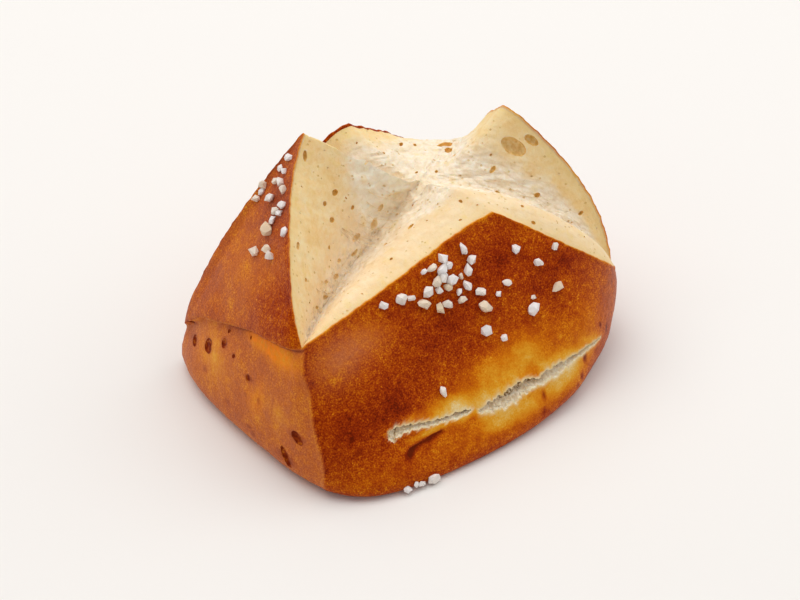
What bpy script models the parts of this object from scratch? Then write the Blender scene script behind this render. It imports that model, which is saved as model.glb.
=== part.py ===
"""A pretzel roll: a brown crust cut crosswise into four petals, opened round pale crumb, with salt.

Sizes are in millimetres and angles in degrees until the meshes are made, which are in metres.
The roll lies along X, rests on Z = 0, and its front long side faces -Y.
"""
import math
import random

import bmesh
import bpy
import numpy as np
from mathutils import Matrix, Vector
from mathutils.bvhtree import BVHTree

MM = 0.001
SEED = 41
TOUCH = 1e-9

# The heart is the point inside the roll from which its whole crust and every cut edge is seen.
HEART = np.array([8.0, 10.0, 18.0])

# Each petal: its tip, and the azimuth and elevation that its slope faces.
TIP = {
    "front": np.array([15.0, -17.0, 45.0]),
    "right": np.array([33.0, 2.5, 56.0]),
    "back": np.array([2.0, 20.5, 54.0]),
    "left": np.array([-15.0, 14.5, 62.0]),
}
SLOPE = {"front": (-96.0, 35.0), "right": (12.0, 29.0), "back": (90.0, 10.0), "left": (157.0, 36.5)}

# The four ends of the cross cut.
CUT_END = {
    "front_left": np.array([-38.5, -17.5, 33.0]),
    "front_right": np.array([43.5, -20.0, 18.0]),
    "back_right": np.array([42.0, 26.0, 21.5]),
    "back_left": np.array([-40.0, 26.0, 16.5]),
}
# Petals counter-clockwise, each with the cut ends before and after it.
SECTORS = (
    ("front", "front_left", "front_right"),
    ("right", "front_right", "back_right"),
    ("back", "back_right", "back_left"),
    ("left", "back_left", "front_left"),
)
# How far each cut edge bows up: once along its length, and as an S.
BOW = {
    ("front", "front_left"): (1.0, -0.5),
    ("front", "front_right"): (-7.5, -2.5),
    ("right", "front_right"): (9.5, 0.5),
    ("right", "back_right"): (5.5, 1.5),
    ("back", "back_right"): (1.0, 0.5),
    ("back", "back_left"): (5.5, 1.5),
    ("left", "back_left"): (2.0, -4.0),
    ("left", "front_left"): (-4.5, 0.5),
}
# The sides and the rounded underside: azimuth and elevation that each faces, and its distance.
SIDES = (
    (180.0, 15.0, 53.0),
    (-158.0, 0.0, 68.5),
    (-135.0, 0.0, 93.5),
    (-112.0, 0.0, 87.5),
    (-90.0, 9.0, 68.0),
    (-68.0, 0.0, 57.0),
    (-45.0, 0.0, 57.0),
    (-22.0, 0.0, 64.0),
    (0.0, 8.0, 42.0),
    (45.0, 0.0, 46.0),
    (90.0, 2.0, 25.0),
    (135.0, 0.0, 52.0),
    (180.0, -42.0, 58.5),
    (-135.0, -35.0, 91.0),
    (-112.0, -38.0, 84.5),
    (-90.0, -42.0, 69.5),
    (-68.0, -38.0, 59.5),
    (-45.0, -35.0, 60.5),
    (0.0, -42.0, 52.0),
    (90.0, -42.0, 34.0),
    (0.0, -90.0, 19.5),
)
# Higher is sharper where two sides meet.
ROUNDING_POWER = 10.0
# Half the width of the band in which one petal's crust passes into the next.
BLEND = 6.0

# The crumb: the middle of the cross, the middle of each valley, and how each petal's face swells.
CROSS_MIDDLE = np.array([9.5, 3.5, 39.5])
VALLEY_MIDDLE = {
    "front_left": np.array([-12.0, 1.0, 29.0]),
    "front_right": np.array([31.0, -12.5, 35.0]),
    "back_right": np.array([28.0, 15.5, 39.0]),
    "back_left": np.array([-14.0, 16.5, 34.0]),
}
# How far the torn crumb fills the bottom of each valley: at the cut end and at the middle.
FILL_AT_END = 0.6
FILL_AT_MIDDLE = 4.2
FILL_START = 0.2
# Height of the swelling, and where it is greatest on the way from the valley to the cut edge.
SWELL = {"front": (3.5, 0.55), "right": (-1.5, 0.5), "back": (0.5, 0.5), "left": (1.5, 0.35)}
SWELL_FULL_WIDTH = 16.0

# Mesh density.
COLUMNS = {"front_left": 18, "front_right": 15, "back_right": 12, "back_left": 13}
CRUST_ROWS = 17
CRUMB_ROWS = 8
EDGE_SAMPLES = 300
HALVINGS = 30
WELD = 0.02

SHARP_ANGLE = 50.0

# The fold at the foot of the left petal, from the front-left cut end to the back-left one.
FOLD_LINE = ((-200.0, -9.0), (-194.5, -3.5), (-188.0, 2.5), (-176.5, 7.5), (-165.5, 12.0), (-149.0, 15.5))
FOLD_RISE = 0.9
FOLD_DROP = 0.8
FOLD_WIDTH = 2.6
FOLD_REACH = 9.0
FOLD_START = 0.12
FOLD_STOP = 0.06
# The upright ridge between the cut left side and the front.
RIDGE_LINE = ((-149.0, 15.5), (-148.0, 10.0), (-146.0, 6.0), (-144.5, 0.0), (-142.0, -6.0), (-141.0, -10.5))
RIDGE_RISE = 0.9
RIDGE_WIDTH = 3.2
RIDGE_FADE = 6.0
# The back side swells out between its foot and its cut edge.
BACK_SWELL = 3.2
BACK_AZIMUTH = 95.0
BACK_REACH = 58.0
# Slow unevenness of the baked crust.
WAVES = 9
WAVE_HEIGHT = 0.22
WAVE_LENGTH = (9.0, 24.0)
# Relief fades out over these shares of the way from the foot and to the cut edge.
FADE_AT_FOOT = 0.12
FADE_AT_EDGE = 0.08
# Angles are read from this far before the start of a line on.
BEFORE_LINE = 20.0

# The side split, which a bridge of crust parts in two: azimuth, elevation and half the gap.
SPLITS = (
    (
        (-128.5, -5.0, 0.3),
        (-126.5, -5.0, 1.1),
        (-122.0, -5.5, 0.8),
        (-117.0, -7.0, 0.9),
        (-112.0, -7.0, 0.9),
        (-108.0, -7.5, 0.3),
    ),
    (
        (-105.5, -8.0, 0.3),
        (-102.5, -8.0, 1.3),
        (-97.0, -8.0, 1.8),
        (-91.0, -8.0, 1.9),
        (-85.0, -8.5, 1.8),
        (-80.0, -8.0, 2.1),
        (-76.0, -7.0, 1.6),
        (-71.5, -6.0, 0.6),
        (-69.5, -5.5, 0.2),
    ),
)
SPLIT_STATIONS = 17
SPLIT_DEPTH = 3.6
SPLIT_RAGGED = 0.35
SPLIT_MOUTH_SHARE = 1.25
SPLIT_FLOOR_SHARE = 0.45
SPLIT_SHALLOW = 0.35
CUTTER_PROUD = 2.0

# Holes in the crumb: a point near each, its half length, half width and depth, and its turn.
CRUMB_HOLES = (
    ((31.3, -4.1, 48.7), 3.2, 2.2, 2.3, 20.0),
    ((35.3, -5.9, 49.9), 1.9, 1.2, 1.6, 20.0),
    ((33.5, -10.7, 38.0), 0.8, 0.6, 0.8, 0.0),
    ((24.5, 13.0, 41.4), 1.3, 0.9, 1.0, 0.0),
    ((-16.3, 11.9, 58.0), 1.4, 0.6, 0.9, 80.0),
    ((-11.4, 7.2, 48.2), 1.0, 0.8, 0.9, 0.0),
    ((-14.5, 4.3, 43.6), 0.9, 0.7, 0.8, 0.0),
    ((-28.4, -1.7, 46.5), 1.0, 0.6, 0.8, 60.0),
    ((0.1, -5.0, 41.5), 0.9, 0.7, 0.7, 0.0),
)
LARGE_HOLE = 1.5
# Burst blisters in the crust: azimuth, elevation, half length, half width, depth and turn.
BLISTERS = (
    (177.0, -2.4, 1.8, 1.6, 0.9, 0.0),
    (169.7, -5.7, 1.5, 1.1, 0.8, 30.0),
    (-176.8, 2.3, 1.3, 1.1, 0.7, 0.0),
    (-148.1, -4.5, 2.0, 1.2, 1.1, 70.0),
    (-150.7, -10.9, 3.0, 1.1, 1.2, 40.0),
    (-164.8, 0.2, 0.9, 0.8, 0.6, 0.0),
)

# Salt, thrown on in pinches: middle azimuth and elevation, spread across and up, and the count.
PINCHES = (
    (-105.0, 40.5, 0.5, 0.3, 1),
    (-95.5, 34.5, 1.8, 2.2, 3),
    (-107.0, 34.0, 3.0, 1.2, 5),
    (-114.0, 36.0, 0.8, 1.3, 2),
    (-120.5, 33.0, 0.3, 0.3, 1),
    (-127.5, 28.5, 0.3, 0.3, 1),
    (-110.5, 28.0, 2.8, 1.8, 6),
    (-99.5, 28.5, 2.8, 1.3, 4),
    (-122.0, 24.5, 3.0, 1.3, 3),
    (-112.0, 21.0, 1.0, 1.5, 2),
    (-104.0, 21.0, 1.2, 2.0, 3),
    (-92.0, 20.0, 4.0, 1.0, 3),
    (-96.0, 16.0, 0.3, 0.3, 1),
    (-69.0, 24.5, 5.5, 3.0, 4),
    (-75.0, 12.0, 5.0, 1.8, 3),
    (-95.0, 7.5, 2.0, 1.5, 2),
    (-115.0, -1.0, 0.2, 0.2, 1),
    (-132.0, 22.5, 0.3, 0.3, 1),
    (171.0, 50.0, 6.0, 3.0, 11),
    (178.0, 42.0, 6.0, 2.5, 9),
    (-171.0, 33.5, 4.0, 2.5, 4),
    (25.0, 26.0, 14.0, 8.0, 9),
    (98.0, 26.0, 16.0, 10.0, 13),
    (-127.5, -14.5, 2.5, 0.4, 4),
)
GRAIN_LENGTH = (1.8, 3.0)
GRAIN_FLATNESS = (0.6, 0.95)
GRAIN_SUNK = 0.25
GRAIN_GAP = 1.9
GRAIN_FROM_EDGE = 2.2
GRAIN_LOWEST = 1.8
MOST_THROWS = 400


def clear_scene():
    """Empties the scene."""
    for obj in list(bpy.data.objects):
        bpy.data.objects.remove(obj)


def direction(azimuth, elevation):
    """Unit vectors for angles in degrees."""
    az, el = np.broadcast_arrays(np.radians(azimuth), np.radians(elevation))
    return np.stack([np.cos(el) * np.cos(az), np.cos(el) * np.sin(az), np.sin(el)], -1)


def angles_from_heart(point):
    """Azimuth and elevation of a point, seen from the heart."""
    x, y, z = point - HEART
    return math.degrees(math.atan2(y, x)), math.degrees(math.atan2(z, math.hypot(x, y)))


def wrap(angle):
    """The same angle between -180 and 180."""
    return (angle + 180.0) % 360.0 - 180.0


def smooth(share):
    """An S curve from 0 to 1."""
    t = np.clip(share, 0.0, 1.0)
    return t * t * (3.0 - 2.0 * t)


SIDE_FACINGS = [(direction(az, el), distance) for az, el, distance in SIDES]
END_ANGLES = {name: angles_from_heart(point) for name, point in CUT_END.items()}
TIP_ANGLES = {name: angles_from_heart(point) for name, point in TIP.items()}


def side_sum(d):
    """What the sides add to the rounded shape in the directions d."""
    total = np.zeros(d.shape[:-1])
    for facing, distance in SIDE_FACINGS:
        total = total + np.clip(d @ facing / distance, 0.0, None) ** ROUNDING_POWER
    return total


def slope_distance(petal):
    """How far the petal's slope is from the heart, so that the crust passes through its tip."""
    to_tip = TIP[petal] - HEART
    reach = np.linalg.norm(to_tip)
    d = to_tip / reach
    left_over = reach ** -ROUNDING_POWER - side_sum(d[None])[0]
    return (d @ direction(*SLOPE[petal])) / left_over ** (1.0 / ROUNDING_POWER)


SLOPES = {petal: (direction(*SLOPE[petal]), slope_distance(petal)) for petal in TIP}


def petal_shares(azimuth):
    """Each petal's share of the crust at an azimuth."""
    shares = {}
    for petal, first, second in SECTORS:
        start = END_ANGLES[first][0]
        end = END_ANGLES[second][0]
        width = (end - start) % 360.0
        past = (azimuth - start + BLEND) % 360.0 - BLEND
        before = (end - azimuth + BLEND) % 360.0 - BLEND
        inside = np.minimum(past, np.where(past <= width + BLEND, before, -BLEND))
        shares[petal] = smooth((inside + BLEND) / (2.0 * BLEND))
    total = sum(shares.values())
    return {petal: share / total for petal, share in shares.items()}


def crust_radius(azimuth, elevation):
    """Distance from the heart to the crust, before its relief."""
    d = direction(azimuth, elevation)
    sides = side_sum(d)
    radius = 0.0
    for petal, share in petal_shares(np.broadcast_to(azimuth, sides.shape)).items():
        facing, distance = SLOPES[petal]
        slope = np.clip(d @ facing / distance, 0.0, None) ** ROUNDING_POWER
        radius = radius + share * (sides + slope) ** (-1.0 / ROUNDING_POWER)
    return radius


def crust_point(azimuth, elevation, extra=0.0):
    """Points of the crust, extra millimetres further out."""
    reach = crust_radius(azimuth, elevation) + extra
    return HEART + direction(azimuth, elevation) * reach[..., None]


def edge_elevation(azimuth):
    """Elevation of the cut edge at each azimuth, seen from the heart."""
    elevation = np.full(azimuth.shape, np.nan)
    for petal, first, second in SECTORS:
        tip_azimuth = TIP_ANGLES[petal][0]
        to_tip = direction(*TIP_ANGLES[petal])
        for end in (first, second):
            end_azimuth = END_ANGLES[end][0]
            plane = np.cross(direction(*END_ANGLES[end]), to_tip)
            along = wrap(azimuth - end_azimuth) / wrap(tip_azimuth - end_azimuth)
            a = np.radians(azimuth)
            tangent = -(plane[0] * np.cos(a) + plane[1] * np.sin(a)) / plane[2]
            t = np.clip(along, 0.0, 1.0)
            once, twice = BOW[(petal, end)]
            bow = once * np.sin(np.pi * t) + twice * np.sin(2.0 * np.pi * t)
            here = (along >= -TOUCH) & (along <= 1.0 + TOUCH)
            elevation = np.where(here, np.degrees(np.arctan(tangent)) + bow, elevation)
    missing = np.isnan(elevation)
    if missing.any():
        known = np.flatnonzero(~missing)
        elevation[missing] = np.interp(np.flatnonzero(missing), known, elevation[known])
    return elevation


def foot_elevation(azimuth):
    """Elevation at which the crust meets the table, found by halving."""
    low = np.full(azimuth.shape, -89.0)
    high = np.zeros(azimuth.shape)
    for _ in range(HALVINGS):
        middle = 0.5 * (low + high)
        under = crust_point(azimuth, middle)[..., 2] < 0.0
        low = np.where(under, middle, low)
        high = np.where(under, high, middle)
    return high


def edge_columns(petal, end):
    """Azimuths from a cut end to the petal's tip, evenly spaced along the cut edge."""
    start = END_ANGLES[end][0]
    azimuth = start + wrap(TIP_ANGLES[petal][0] - start) * np.linspace(0.0, 1.0, EDGE_SAMPLES)
    points = crust_point(azimuth, edge_elevation(wrap(azimuth)))
    steps = np.linalg.norm(np.diff(points, axis=0), axis=1)
    run = np.concatenate([[0.0], np.cumsum(steps)]) / steps.sum()
    return np.interp(np.linspace(0.0, 1.0, COLUMNS[end] + 1), run, azimuth)


def valley_points(end):
    """Points of the valley from a cut end to the middle of the cross."""
    start = crust_point(*[np.array(angle) for angle in END_ANGLES[end]])
    pull = 2.0 * VALLEY_MIDDLE[end] - 0.5 * (CROSS_MIDDLE + start)
    t = np.linspace(0.0, 1.0, COLUMNS[end] + 1)[:, None]
    return (1.0 - t) ** 2 * start + 2.0 * t * (1.0 - t) * pull + t * t * CROSS_MIDDLE


def line_distance(azimuth, elevation, line):
    """Signed angle above a line of azimuths and elevations, and the share of the line passed."""
    line = np.array(line)
    low = line[:, 0].min()
    turned = low + (azimuth - low + BEFORE_LINE) % 360.0 - BEFORE_LINE
    order = np.argsort(line[:, 0])
    height = np.interp(turned, line[order, 0], line[order, 1])
    share = (turned - low) / (line[:, 0].max() - low)
    return elevation - height, share


def fold_relief(azimuth, elevation, reach):
    """The left petal stands a little proud of the cut side below its fold."""
    above, share = line_distance(azimuth, elevation, FOLD_LINE)
    up = np.radians(above) * reach
    inside = smooth(share / FOLD_START) * smooth((1.0 - share) / FOLD_STOP)
    step = smooth(0.5 + up / FOLD_WIDTH)
    fade = np.exp(-((up / FOLD_REACH) ** 2))
    return inside * fade * (FOLD_RISE * step - FOLD_DROP * (1.0 - step))


def ridge_relief(azimuth, elevation, reach):
    """The upright ridge that the cut side and the front make."""
    line = np.array(RIDGE_LINE)
    order = np.argsort(line[:, 1])
    middle = np.interp(elevation, line[order, 1], line[order, 0])
    across = np.radians(wrap(azimuth - middle)) * reach * np.cos(np.radians(elevation))
    below = smooth((line[:, 1].max() - elevation) / RIDGE_FADE)
    return RIDGE_RISE * below * np.exp(-np.abs(across) / RIDGE_WIDTH)


def back_relief(azimuth, share):
    """The swelling of the back side."""
    across = np.clip(wrap(azimuth - BACK_AZIMUTH) / BACK_REACH, -1.0, 1.0)
    return BACK_SWELL * np.cos(0.5 * np.pi * across) ** 2 * np.sin(np.pi * share)


def wave_relief(points):
    """Slow seeded unevenness of the crust."""
    rng = np.random.default_rng(SEED)
    total = np.zeros(points.shape[:-1])
    for _ in range(WAVES):
        length = rng.uniform(*WAVE_LENGTH)
        heading = rng.normal(size=3)
        heading = heading / np.linalg.norm(heading)
        phase = rng.uniform(0.0, 2.0 * np.pi)
        total = total + np.sin(points @ heading * (2.0 * np.pi / length) + phase)
    return WAVE_HEIGHT * total / math.sqrt(WAVES)


def crust_row(azimuth, foot, edge, share):
    """One row of the crust with its relief, a share of the way from the foot to the cut edge."""
    elevation = foot + (edge - foot) * share
    reach = crust_radius(azimuth, elevation)
    plain = crust_point(azimuth, elevation)
    relief = fold_relief(azimuth, elevation, reach) + ridge_relief(azimuth, elevation, reach)
    relief = relief + wave_relief(plain)
    fade = smooth(share / FADE_AT_FOOT) * smooth((1.0 - share) / FADE_AT_EDGE)
    return crust_point(azimuth, elevation, relief * fade + back_relief(azimuth, share))


def crumb_row(inner, edge, petals, along, share):
    """One row of the crumb, a share of the way from the valley to the cut edge."""
    height = np.array([SWELL[petal][0] for petal in petals])
    peak = np.array([SWELL[petal][1] for petal in petals])
    width = np.linalg.norm(edge - inner, axis=1)
    hump = np.sin(np.pi * share ** (np.log(0.5) / np.log(peak)))
    points = inner + (edge - inner) * share
    points[:, 2] += height * hump * np.minimum(1.0, width / SWELL_FULL_WIDTH)
    # The fill takes the sharp crease out of the valley, most of all in the torn middle.
    fill = FILL_AT_END + (FILL_AT_MIDDLE - FILL_AT_END) * along ** 2
    rise = np.maximum(edge[:, 2] - inner[:, 2], 0.0)
    points[:, 2] += fill * np.exp(-rise * share / fill) * (1.0 - share) * smooth(along / FILL_START)
    return points


def roll_rows():
    """Every row of the roll from its foot up the crust and over the crumb to the valleys."""
    azimuth = []
    inner = []
    petals = []
    along = []
    for petal, first, second in SECTORS:
        azimuth += list(edge_columns(petal, first)[:-1])
        azimuth += list(edge_columns(petal, second)[:0:-1])
        inner += list(valley_points(first)[:-1])
        inner += list(valley_points(second)[:0:-1])
        petals += [petal] * (COLUMNS[first] + COLUMNS[second])
        along += list(np.linspace(0.0, 1.0, COLUMNS[first] + 1)[:-1])
        along += list(np.linspace(0.0, 1.0, COLUMNS[second] + 1)[:0:-1])
    azimuth = wrap(np.array(azimuth))
    inner = np.array(inner)
    along = np.array(along)
    edge = edge_elevation(azimuth)
    foot = foot_elevation(azimuth)
    rows = [crust_row(azimuth, foot, edge, k / CRUST_ROWS) for k in range(CRUST_ROWS + 1)]
    rows[0][:, 2] = 0.0
    for k in range(1, CRUMB_ROWS + 1):
        rows.append(crumb_row(inner, rows[CRUST_ROWS], petals, along, 1.0 - k / CRUMB_ROWS))
    return rows


def roll_body(crust, crumb):
    """The roll without its split, holes and salt."""
    rows = roll_rows()
    count = len(rows[0])
    bm = bmesh.new()
    middle = bm.verts.new((HEART[0], HEART[1], 0.0))
    grid = [[bm.verts.new(point) for point in row] for row in rows]
    for j in range(count):
        k = (j + 1) % count
        bm.faces.new((middle, grid[0][k], grid[0][j]))
        for r in range(len(rows) - 1):
            a, b = grid[r][j], grid[r][k]
            c, d = grid[r + 1][k], grid[r + 1][j]
            slot = 0 if r < CRUST_ROWS else 1
            for corners in ((a, b, c), (a, c, d)):
                bm.faces.new(corners).material_index = slot
    # The rows close up at the cut ends and in the valleys, where neighbours share their points.
    bmesh.ops.remove_doubles(bm, verts=bm.verts, dist=WELD)
    bmesh.ops.recalc_face_normals(bm, faces=bm.faces)
    return mesh_object("pretzel_roll", bm, (crust, crumb))


def mesh_object(name, bm, materials):
    """A scene object in metres from a bmesh in millimetres."""
    bmesh.ops.scale(bm, vec=(MM, MM, MM), verts=bm.verts)
    mesh = bpy.data.meshes.new(name)
    bm.to_mesh(mesh)
    bm.free()
    for material in materials:
        mesh.materials.append(material)
    obj = bpy.data.objects.new(name, mesh)
    bpy.context.scene.collection.objects.link(obj)
    return obj


def split_sections(stations, rng):
    """The four corners of a split's cutter at each station, two outside the crust and two inside."""
    line = np.array(stations)
    azimuth = np.linspace(line[0, 0], line[-1, 0], SPLIT_STATIONS)
    elevation = np.interp(azimuth, line[:, 0], line[:, 1])
    half = np.interp(azimuth, line[:, 0], line[:, 2])
    reach = crust_radius(azimuth, elevation)
    sections = []
    for a, e, h, r in zip(azimuth, elevation, half, reach):
        upper = h + SPLIT_RAGGED * h * rng.uniform(-1.0, 1.0)
        lower = h + SPLIT_RAGGED * h * rng.uniform(-1.0, 1.0)
        depth = SPLIT_DEPTH * min(1.0, SPLIT_SHALLOW + h)
        corners = []
        for side, out in ((upper, CUTTER_PROUD), (-lower, CUTTER_PROUD), (-lower, -depth), (upper, -depth)):
            share = SPLIT_MOUTH_SHARE if out > 0.0 else SPLIT_FLOOR_SHARE
            tilt = math.degrees(side * share / r)
            corners.append(HEART + direction(a, e + tilt) * (r + out))
        sections.append(corners)
    return sections


def split_cutter(number, stations, crumb):
    """A ragged wedge along one part of the side split."""
    bm = bmesh.new()
    sections = split_sections(stations, random.Random(SEED + number))
    rings = [[bm.verts.new(p) for p in section] for section in sections]
    for one, two in zip(rings[:-1], rings[1:]):
        for i in range(4):
            k = (i + 1) % 4
            bm.faces.new((one[i], one[k], two[k]))
            bm.faces.new((one[i], two[k], two[i]))
    bm.faces.new(rings[0])
    bm.faces.new(rings[-1])
    bmesh.ops.triangulate(bm, faces=bm.faces)
    bmesh.ops.recalc_face_normals(bm, faces=bm.faces)
    return mesh_object(f"split_cutter_{number}", bm, (crumb,))


def hollow_cutter(name, place, facing, size, turn, material, rings):
    """An egg-shaped cutter half sunk in the surface. Size is half length, half width and depth."""
    bm = bmesh.new()
    bmesh.ops.create_icosphere(bm, subdivisions=rings, radius=1.0)
    turned = Matrix.Rotation(math.radians(turn), 4, "Z")
    sized = Matrix.Diagonal((size[0], size[1], size[2], 1.0))
    facing_up = Vector(facing).to_track_quat("Z", "Y").to_matrix().to_4x4()
    placed = Matrix.Translation(Vector(place)) @ facing_up @ turned @ sized
    bmesh.ops.transform(bm, matrix=placed, verts=bm.verts)
    return mesh_object(name, bm, (material,))


def body_tree(body):
    """A search tree over the body, in millimetres."""
    points = [vertex.co / MM for vertex in body.data.vertices]
    faces = [tuple(face.vertices) for face in body.data.polygons]
    return BVHTree.FromPolygons(points, faces)


def crumb_hole_cutters(tree, crumb):
    """Cutters for the large holes in the crumb."""
    cutters = []
    for number, (near, length, width, depth, turn) in enumerate(CRUMB_HOLES):
        place, facing, _, _ = tree.find_nearest(Vector(near))
        rings = 2 if length > LARGE_HOLE else 1
        name = f"crumb_hole_{number}"
        cutters.append(hollow_cutter(name, place, facing, (length, width, depth), turn, crumb, rings))
    return cutters


def blister_cutters(tree, crust):
    """Cutters for the burst blisters in the crust."""
    cutters = []
    for number, (azimuth, elevation, length, width, depth, turn) in enumerate(BLISTERS):
        near = crust_point(np.array(azimuth), np.array(elevation))
        place, facing, _, _ = tree.find_nearest(Vector(near))
        name = f"blister_{number}"
        cutters.append(hollow_cutter(name, place, facing, (length, width, depth), turn, crust, 1))
    return cutters


def grain_places():
    """Where the salt lies: seeded throws of each pinch, none on another and none over a cut edge."""
    rng = random.Random(SEED)
    places = []
    for azimuth, elevation, across, up, count in PINCHES:
        thrown = 0
        for _ in range(MOST_THROWS):
            if thrown == count:
                break
            az = np.array([wrap(rng.gauss(azimuth, across))])
            el = np.array([rng.gauss(elevation, up)])
            reach = crust_radius(az, el)[0]
            margin = math.radians(edge_elevation(az)[0] - el[0]) * reach
            place = crust_point(az, el)[0]
            near = any(np.linalg.norm(place - other) < GRAIN_GAP for other in places)
            if margin < GRAIN_FROM_EDGE or place[2] < GRAIN_LOWEST or near:
                continue
            places.append(place)
            thrown += 1
    return places


def salt_grains(tree, salt):
    """Coarse salt grains, each sunk a little in the crust."""
    rng = random.Random(SEED + 1)
    grains = []
    for number, near in enumerate(grain_places()):
        place, facing, _, _ = tree.find_nearest(Vector(near))
        length = rng.uniform(*GRAIN_LENGTH)
        width = length * rng.uniform(*GRAIN_FLATNESS)
        height = length * rng.uniform(*GRAIN_FLATNESS)
        bm = bmesh.new()
        bmesh.ops.create_icosphere(bm, subdivisions=1, radius=0.5)
        sized = Matrix.Diagonal((length, width, height, 1.0))
        turned = Matrix.Rotation(rng.uniform(0.0, 2.0 * math.pi), 4, "Z")
        facing_up = facing.to_track_quat("Z", "Y").to_matrix().to_4x4()
        lifted = place + facing * height * (0.5 - GRAIN_SUNK)
        placed = Matrix.Translation(lifted) @ facing_up @ turned @ sized
        bmesh.ops.transform(bm, matrix=placed, verts=bm.verts)
        grains.append(mesh_object(f"grain_{number}", bm, (salt,)))
    return grains


def joined(body, others, operation):
    """Applies one Boolean of the body with all the others, and removes them."""
    group = bpy.data.collections.new(operation.lower())
    for other in others:
        other.hide_render = True
        other.display_type = "WIRE"
        group.objects.link(other)
        bpy.context.scene.collection.objects.unlink(other)
    bpy.context.scene.collection.children.link(group)
    modifier = body.modifiers.new("joined", "BOOLEAN")
    modifier.operation = operation
    modifier.operand_type = "COLLECTION"
    modifier.collection = group
    modifier.solver = "MANIFOLD"
    modifier.material_mode = "TRANSFER"
    graph = bpy.context.evaluated_depsgraph_get()
    made = bpy.data.meshes.new_from_object(body.evaluated_get(graph))
    body.modifiers.clear()
    body.data = made
    for other in others:
        bpy.data.objects.remove(other)
    bpy.data.collections.remove(group)


def centre_on_origin(body):
    """Puts the middle of the roll's box over the origin, with its foot on the table."""
    points = np.array([vertex.co for vertex in body.data.vertices])
    low = points.min(axis=0)
    high = points.max(axis=0)
    middle = 0.5 * (low + high)
    body.data.transform(Matrix.Translation((-middle[0], -middle[1], -low[2])))


def plain_material(name, colour, roughness):
    """A Principled BSDF material of one colour."""
    material = bpy.data.materials.new(name)
    material.use_nodes = True
    shader = material.node_tree.nodes["Principled BSDF"]
    shader.inputs["Base Color"].default_value = (*colour, 1.0)
    shader.inputs["Roughness"].default_value = roughness
    return material


def main():
    """Builds the roll."""
    clear_scene()
    crust = plain_material("crust", (0.30, 0.085, 0.018), 0.5)
    crumb = plain_material("crumb", (0.80, 0.62, 0.36), 0.85)
    salt = plain_material("salt", (0.85, 0.82, 0.76), 0.6)
    body = roll_body(crust, crumb)
    tree = body_tree(body)
    cutters = [split_cutter(number, stations, crumb) for number, stations in enumerate(SPLITS)]
    cutters += crumb_hole_cutters(tree, crumb)
    cutters += blister_cutters(tree, crust)
    joined(body, cutters, "DIFFERENCE")
    joined(body, salt_grains(tree, salt), "UNION")
    centre_on_origin(body)
    for face in body.data.polygons:
        face.use_smooth = True
    body.data.set_sharp_from_angle(angle=math.radians(SHARP_ANGLE))


main()
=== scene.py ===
"""Looks of a salted pretzel roll: brown crust, opened crumb, torn strands and coarse salt.

Sizes in the classes are millimetres and degrees. Meshes, lights and the camera are in metres.
The roll is worked out about a heart, the point inside it from which its whole crust is seen.
"""
import sys
import logging
import math
import random
from dataclasses import dataclass, field
from enum import Enum
from functools import cached_property

import bpy
import numpy as np
from mathutils import Matrix, Vector
from mathutils.bvhtree import BVHTree


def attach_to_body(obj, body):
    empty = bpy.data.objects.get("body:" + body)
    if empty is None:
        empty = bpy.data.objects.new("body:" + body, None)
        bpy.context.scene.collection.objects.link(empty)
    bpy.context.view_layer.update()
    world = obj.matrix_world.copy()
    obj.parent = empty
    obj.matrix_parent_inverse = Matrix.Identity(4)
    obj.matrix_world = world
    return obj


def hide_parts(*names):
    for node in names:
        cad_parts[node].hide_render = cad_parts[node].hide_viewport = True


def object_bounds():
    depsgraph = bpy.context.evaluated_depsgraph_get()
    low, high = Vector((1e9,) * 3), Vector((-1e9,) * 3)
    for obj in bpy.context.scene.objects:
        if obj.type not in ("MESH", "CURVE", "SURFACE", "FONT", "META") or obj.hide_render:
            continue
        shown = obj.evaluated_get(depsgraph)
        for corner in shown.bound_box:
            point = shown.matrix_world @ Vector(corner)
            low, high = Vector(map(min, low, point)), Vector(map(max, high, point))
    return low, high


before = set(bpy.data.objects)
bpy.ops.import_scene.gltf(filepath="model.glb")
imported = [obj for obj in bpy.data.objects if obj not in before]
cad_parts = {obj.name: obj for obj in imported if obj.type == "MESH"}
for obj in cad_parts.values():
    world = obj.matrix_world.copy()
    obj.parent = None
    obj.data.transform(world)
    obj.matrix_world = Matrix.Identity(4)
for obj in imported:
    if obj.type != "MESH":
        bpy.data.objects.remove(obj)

CAD_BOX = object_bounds()
# How far inside that box the visual model stays.
BOX_MARGIN = 0.00001
MM = 0.001
NODE = "pretzel_roll"
BODY = "root"
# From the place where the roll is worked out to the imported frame.
TO_FRAME = np.array([-1.663, 6.0109, 0.0])
SEED = 41
TOUCH = 1e-9
# The middle value of a noise colour.
NOISE_MIDDLE = (0.5, 0.5, 0.5)

Array = np.ndarray
Pair = tuple[float, float]
Triple = tuple[float, float, float]
Row = tuple[float, ...]
Stops = tuple[tuple[float, Triple], ...]
Softness = tuple[float, float, Triple]
Piece = bpy.types.Object
Material = bpy.types.Material
Finishes = dict[str, Material]
log = logging.getLogger("pretzel_roll")


# Plain sums on angles and shares.


def direction(azimuth: Array | float, elevation: Array | float) -> Array:
    """Unit vectors for angles in degrees."""
    az, el = np.broadcast_arrays(np.radians(azimuth), np.radians(elevation))
    return np.stack([np.cos(el) * np.cos(az), np.cos(el) * np.sin(az), np.sin(el)], -1)


def wrap(angle: Array | float) -> Array | float:
    """The same angle between -180 and 180."""
    return (angle + 180.0) % 360.0 - 180.0


def smooth(share: Array | float) -> Array:
    """An S curve from 0 to 1."""
    t = np.clip(share, 0.0, 1.0)
    return t * t * (3.0 - 2.0 * t)


def bell(away: Array | float) -> Array:
    """A bell curve: 1 in the middle and next to nothing past 2."""
    return np.exp(-(away ** 2))


def unit(vectors: Array) -> Array:
    """The vectors, each one long."""
    return vectors / np.maximum(np.linalg.norm(vectors, axis=-1, keepdims=True), TOUCH)


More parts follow.
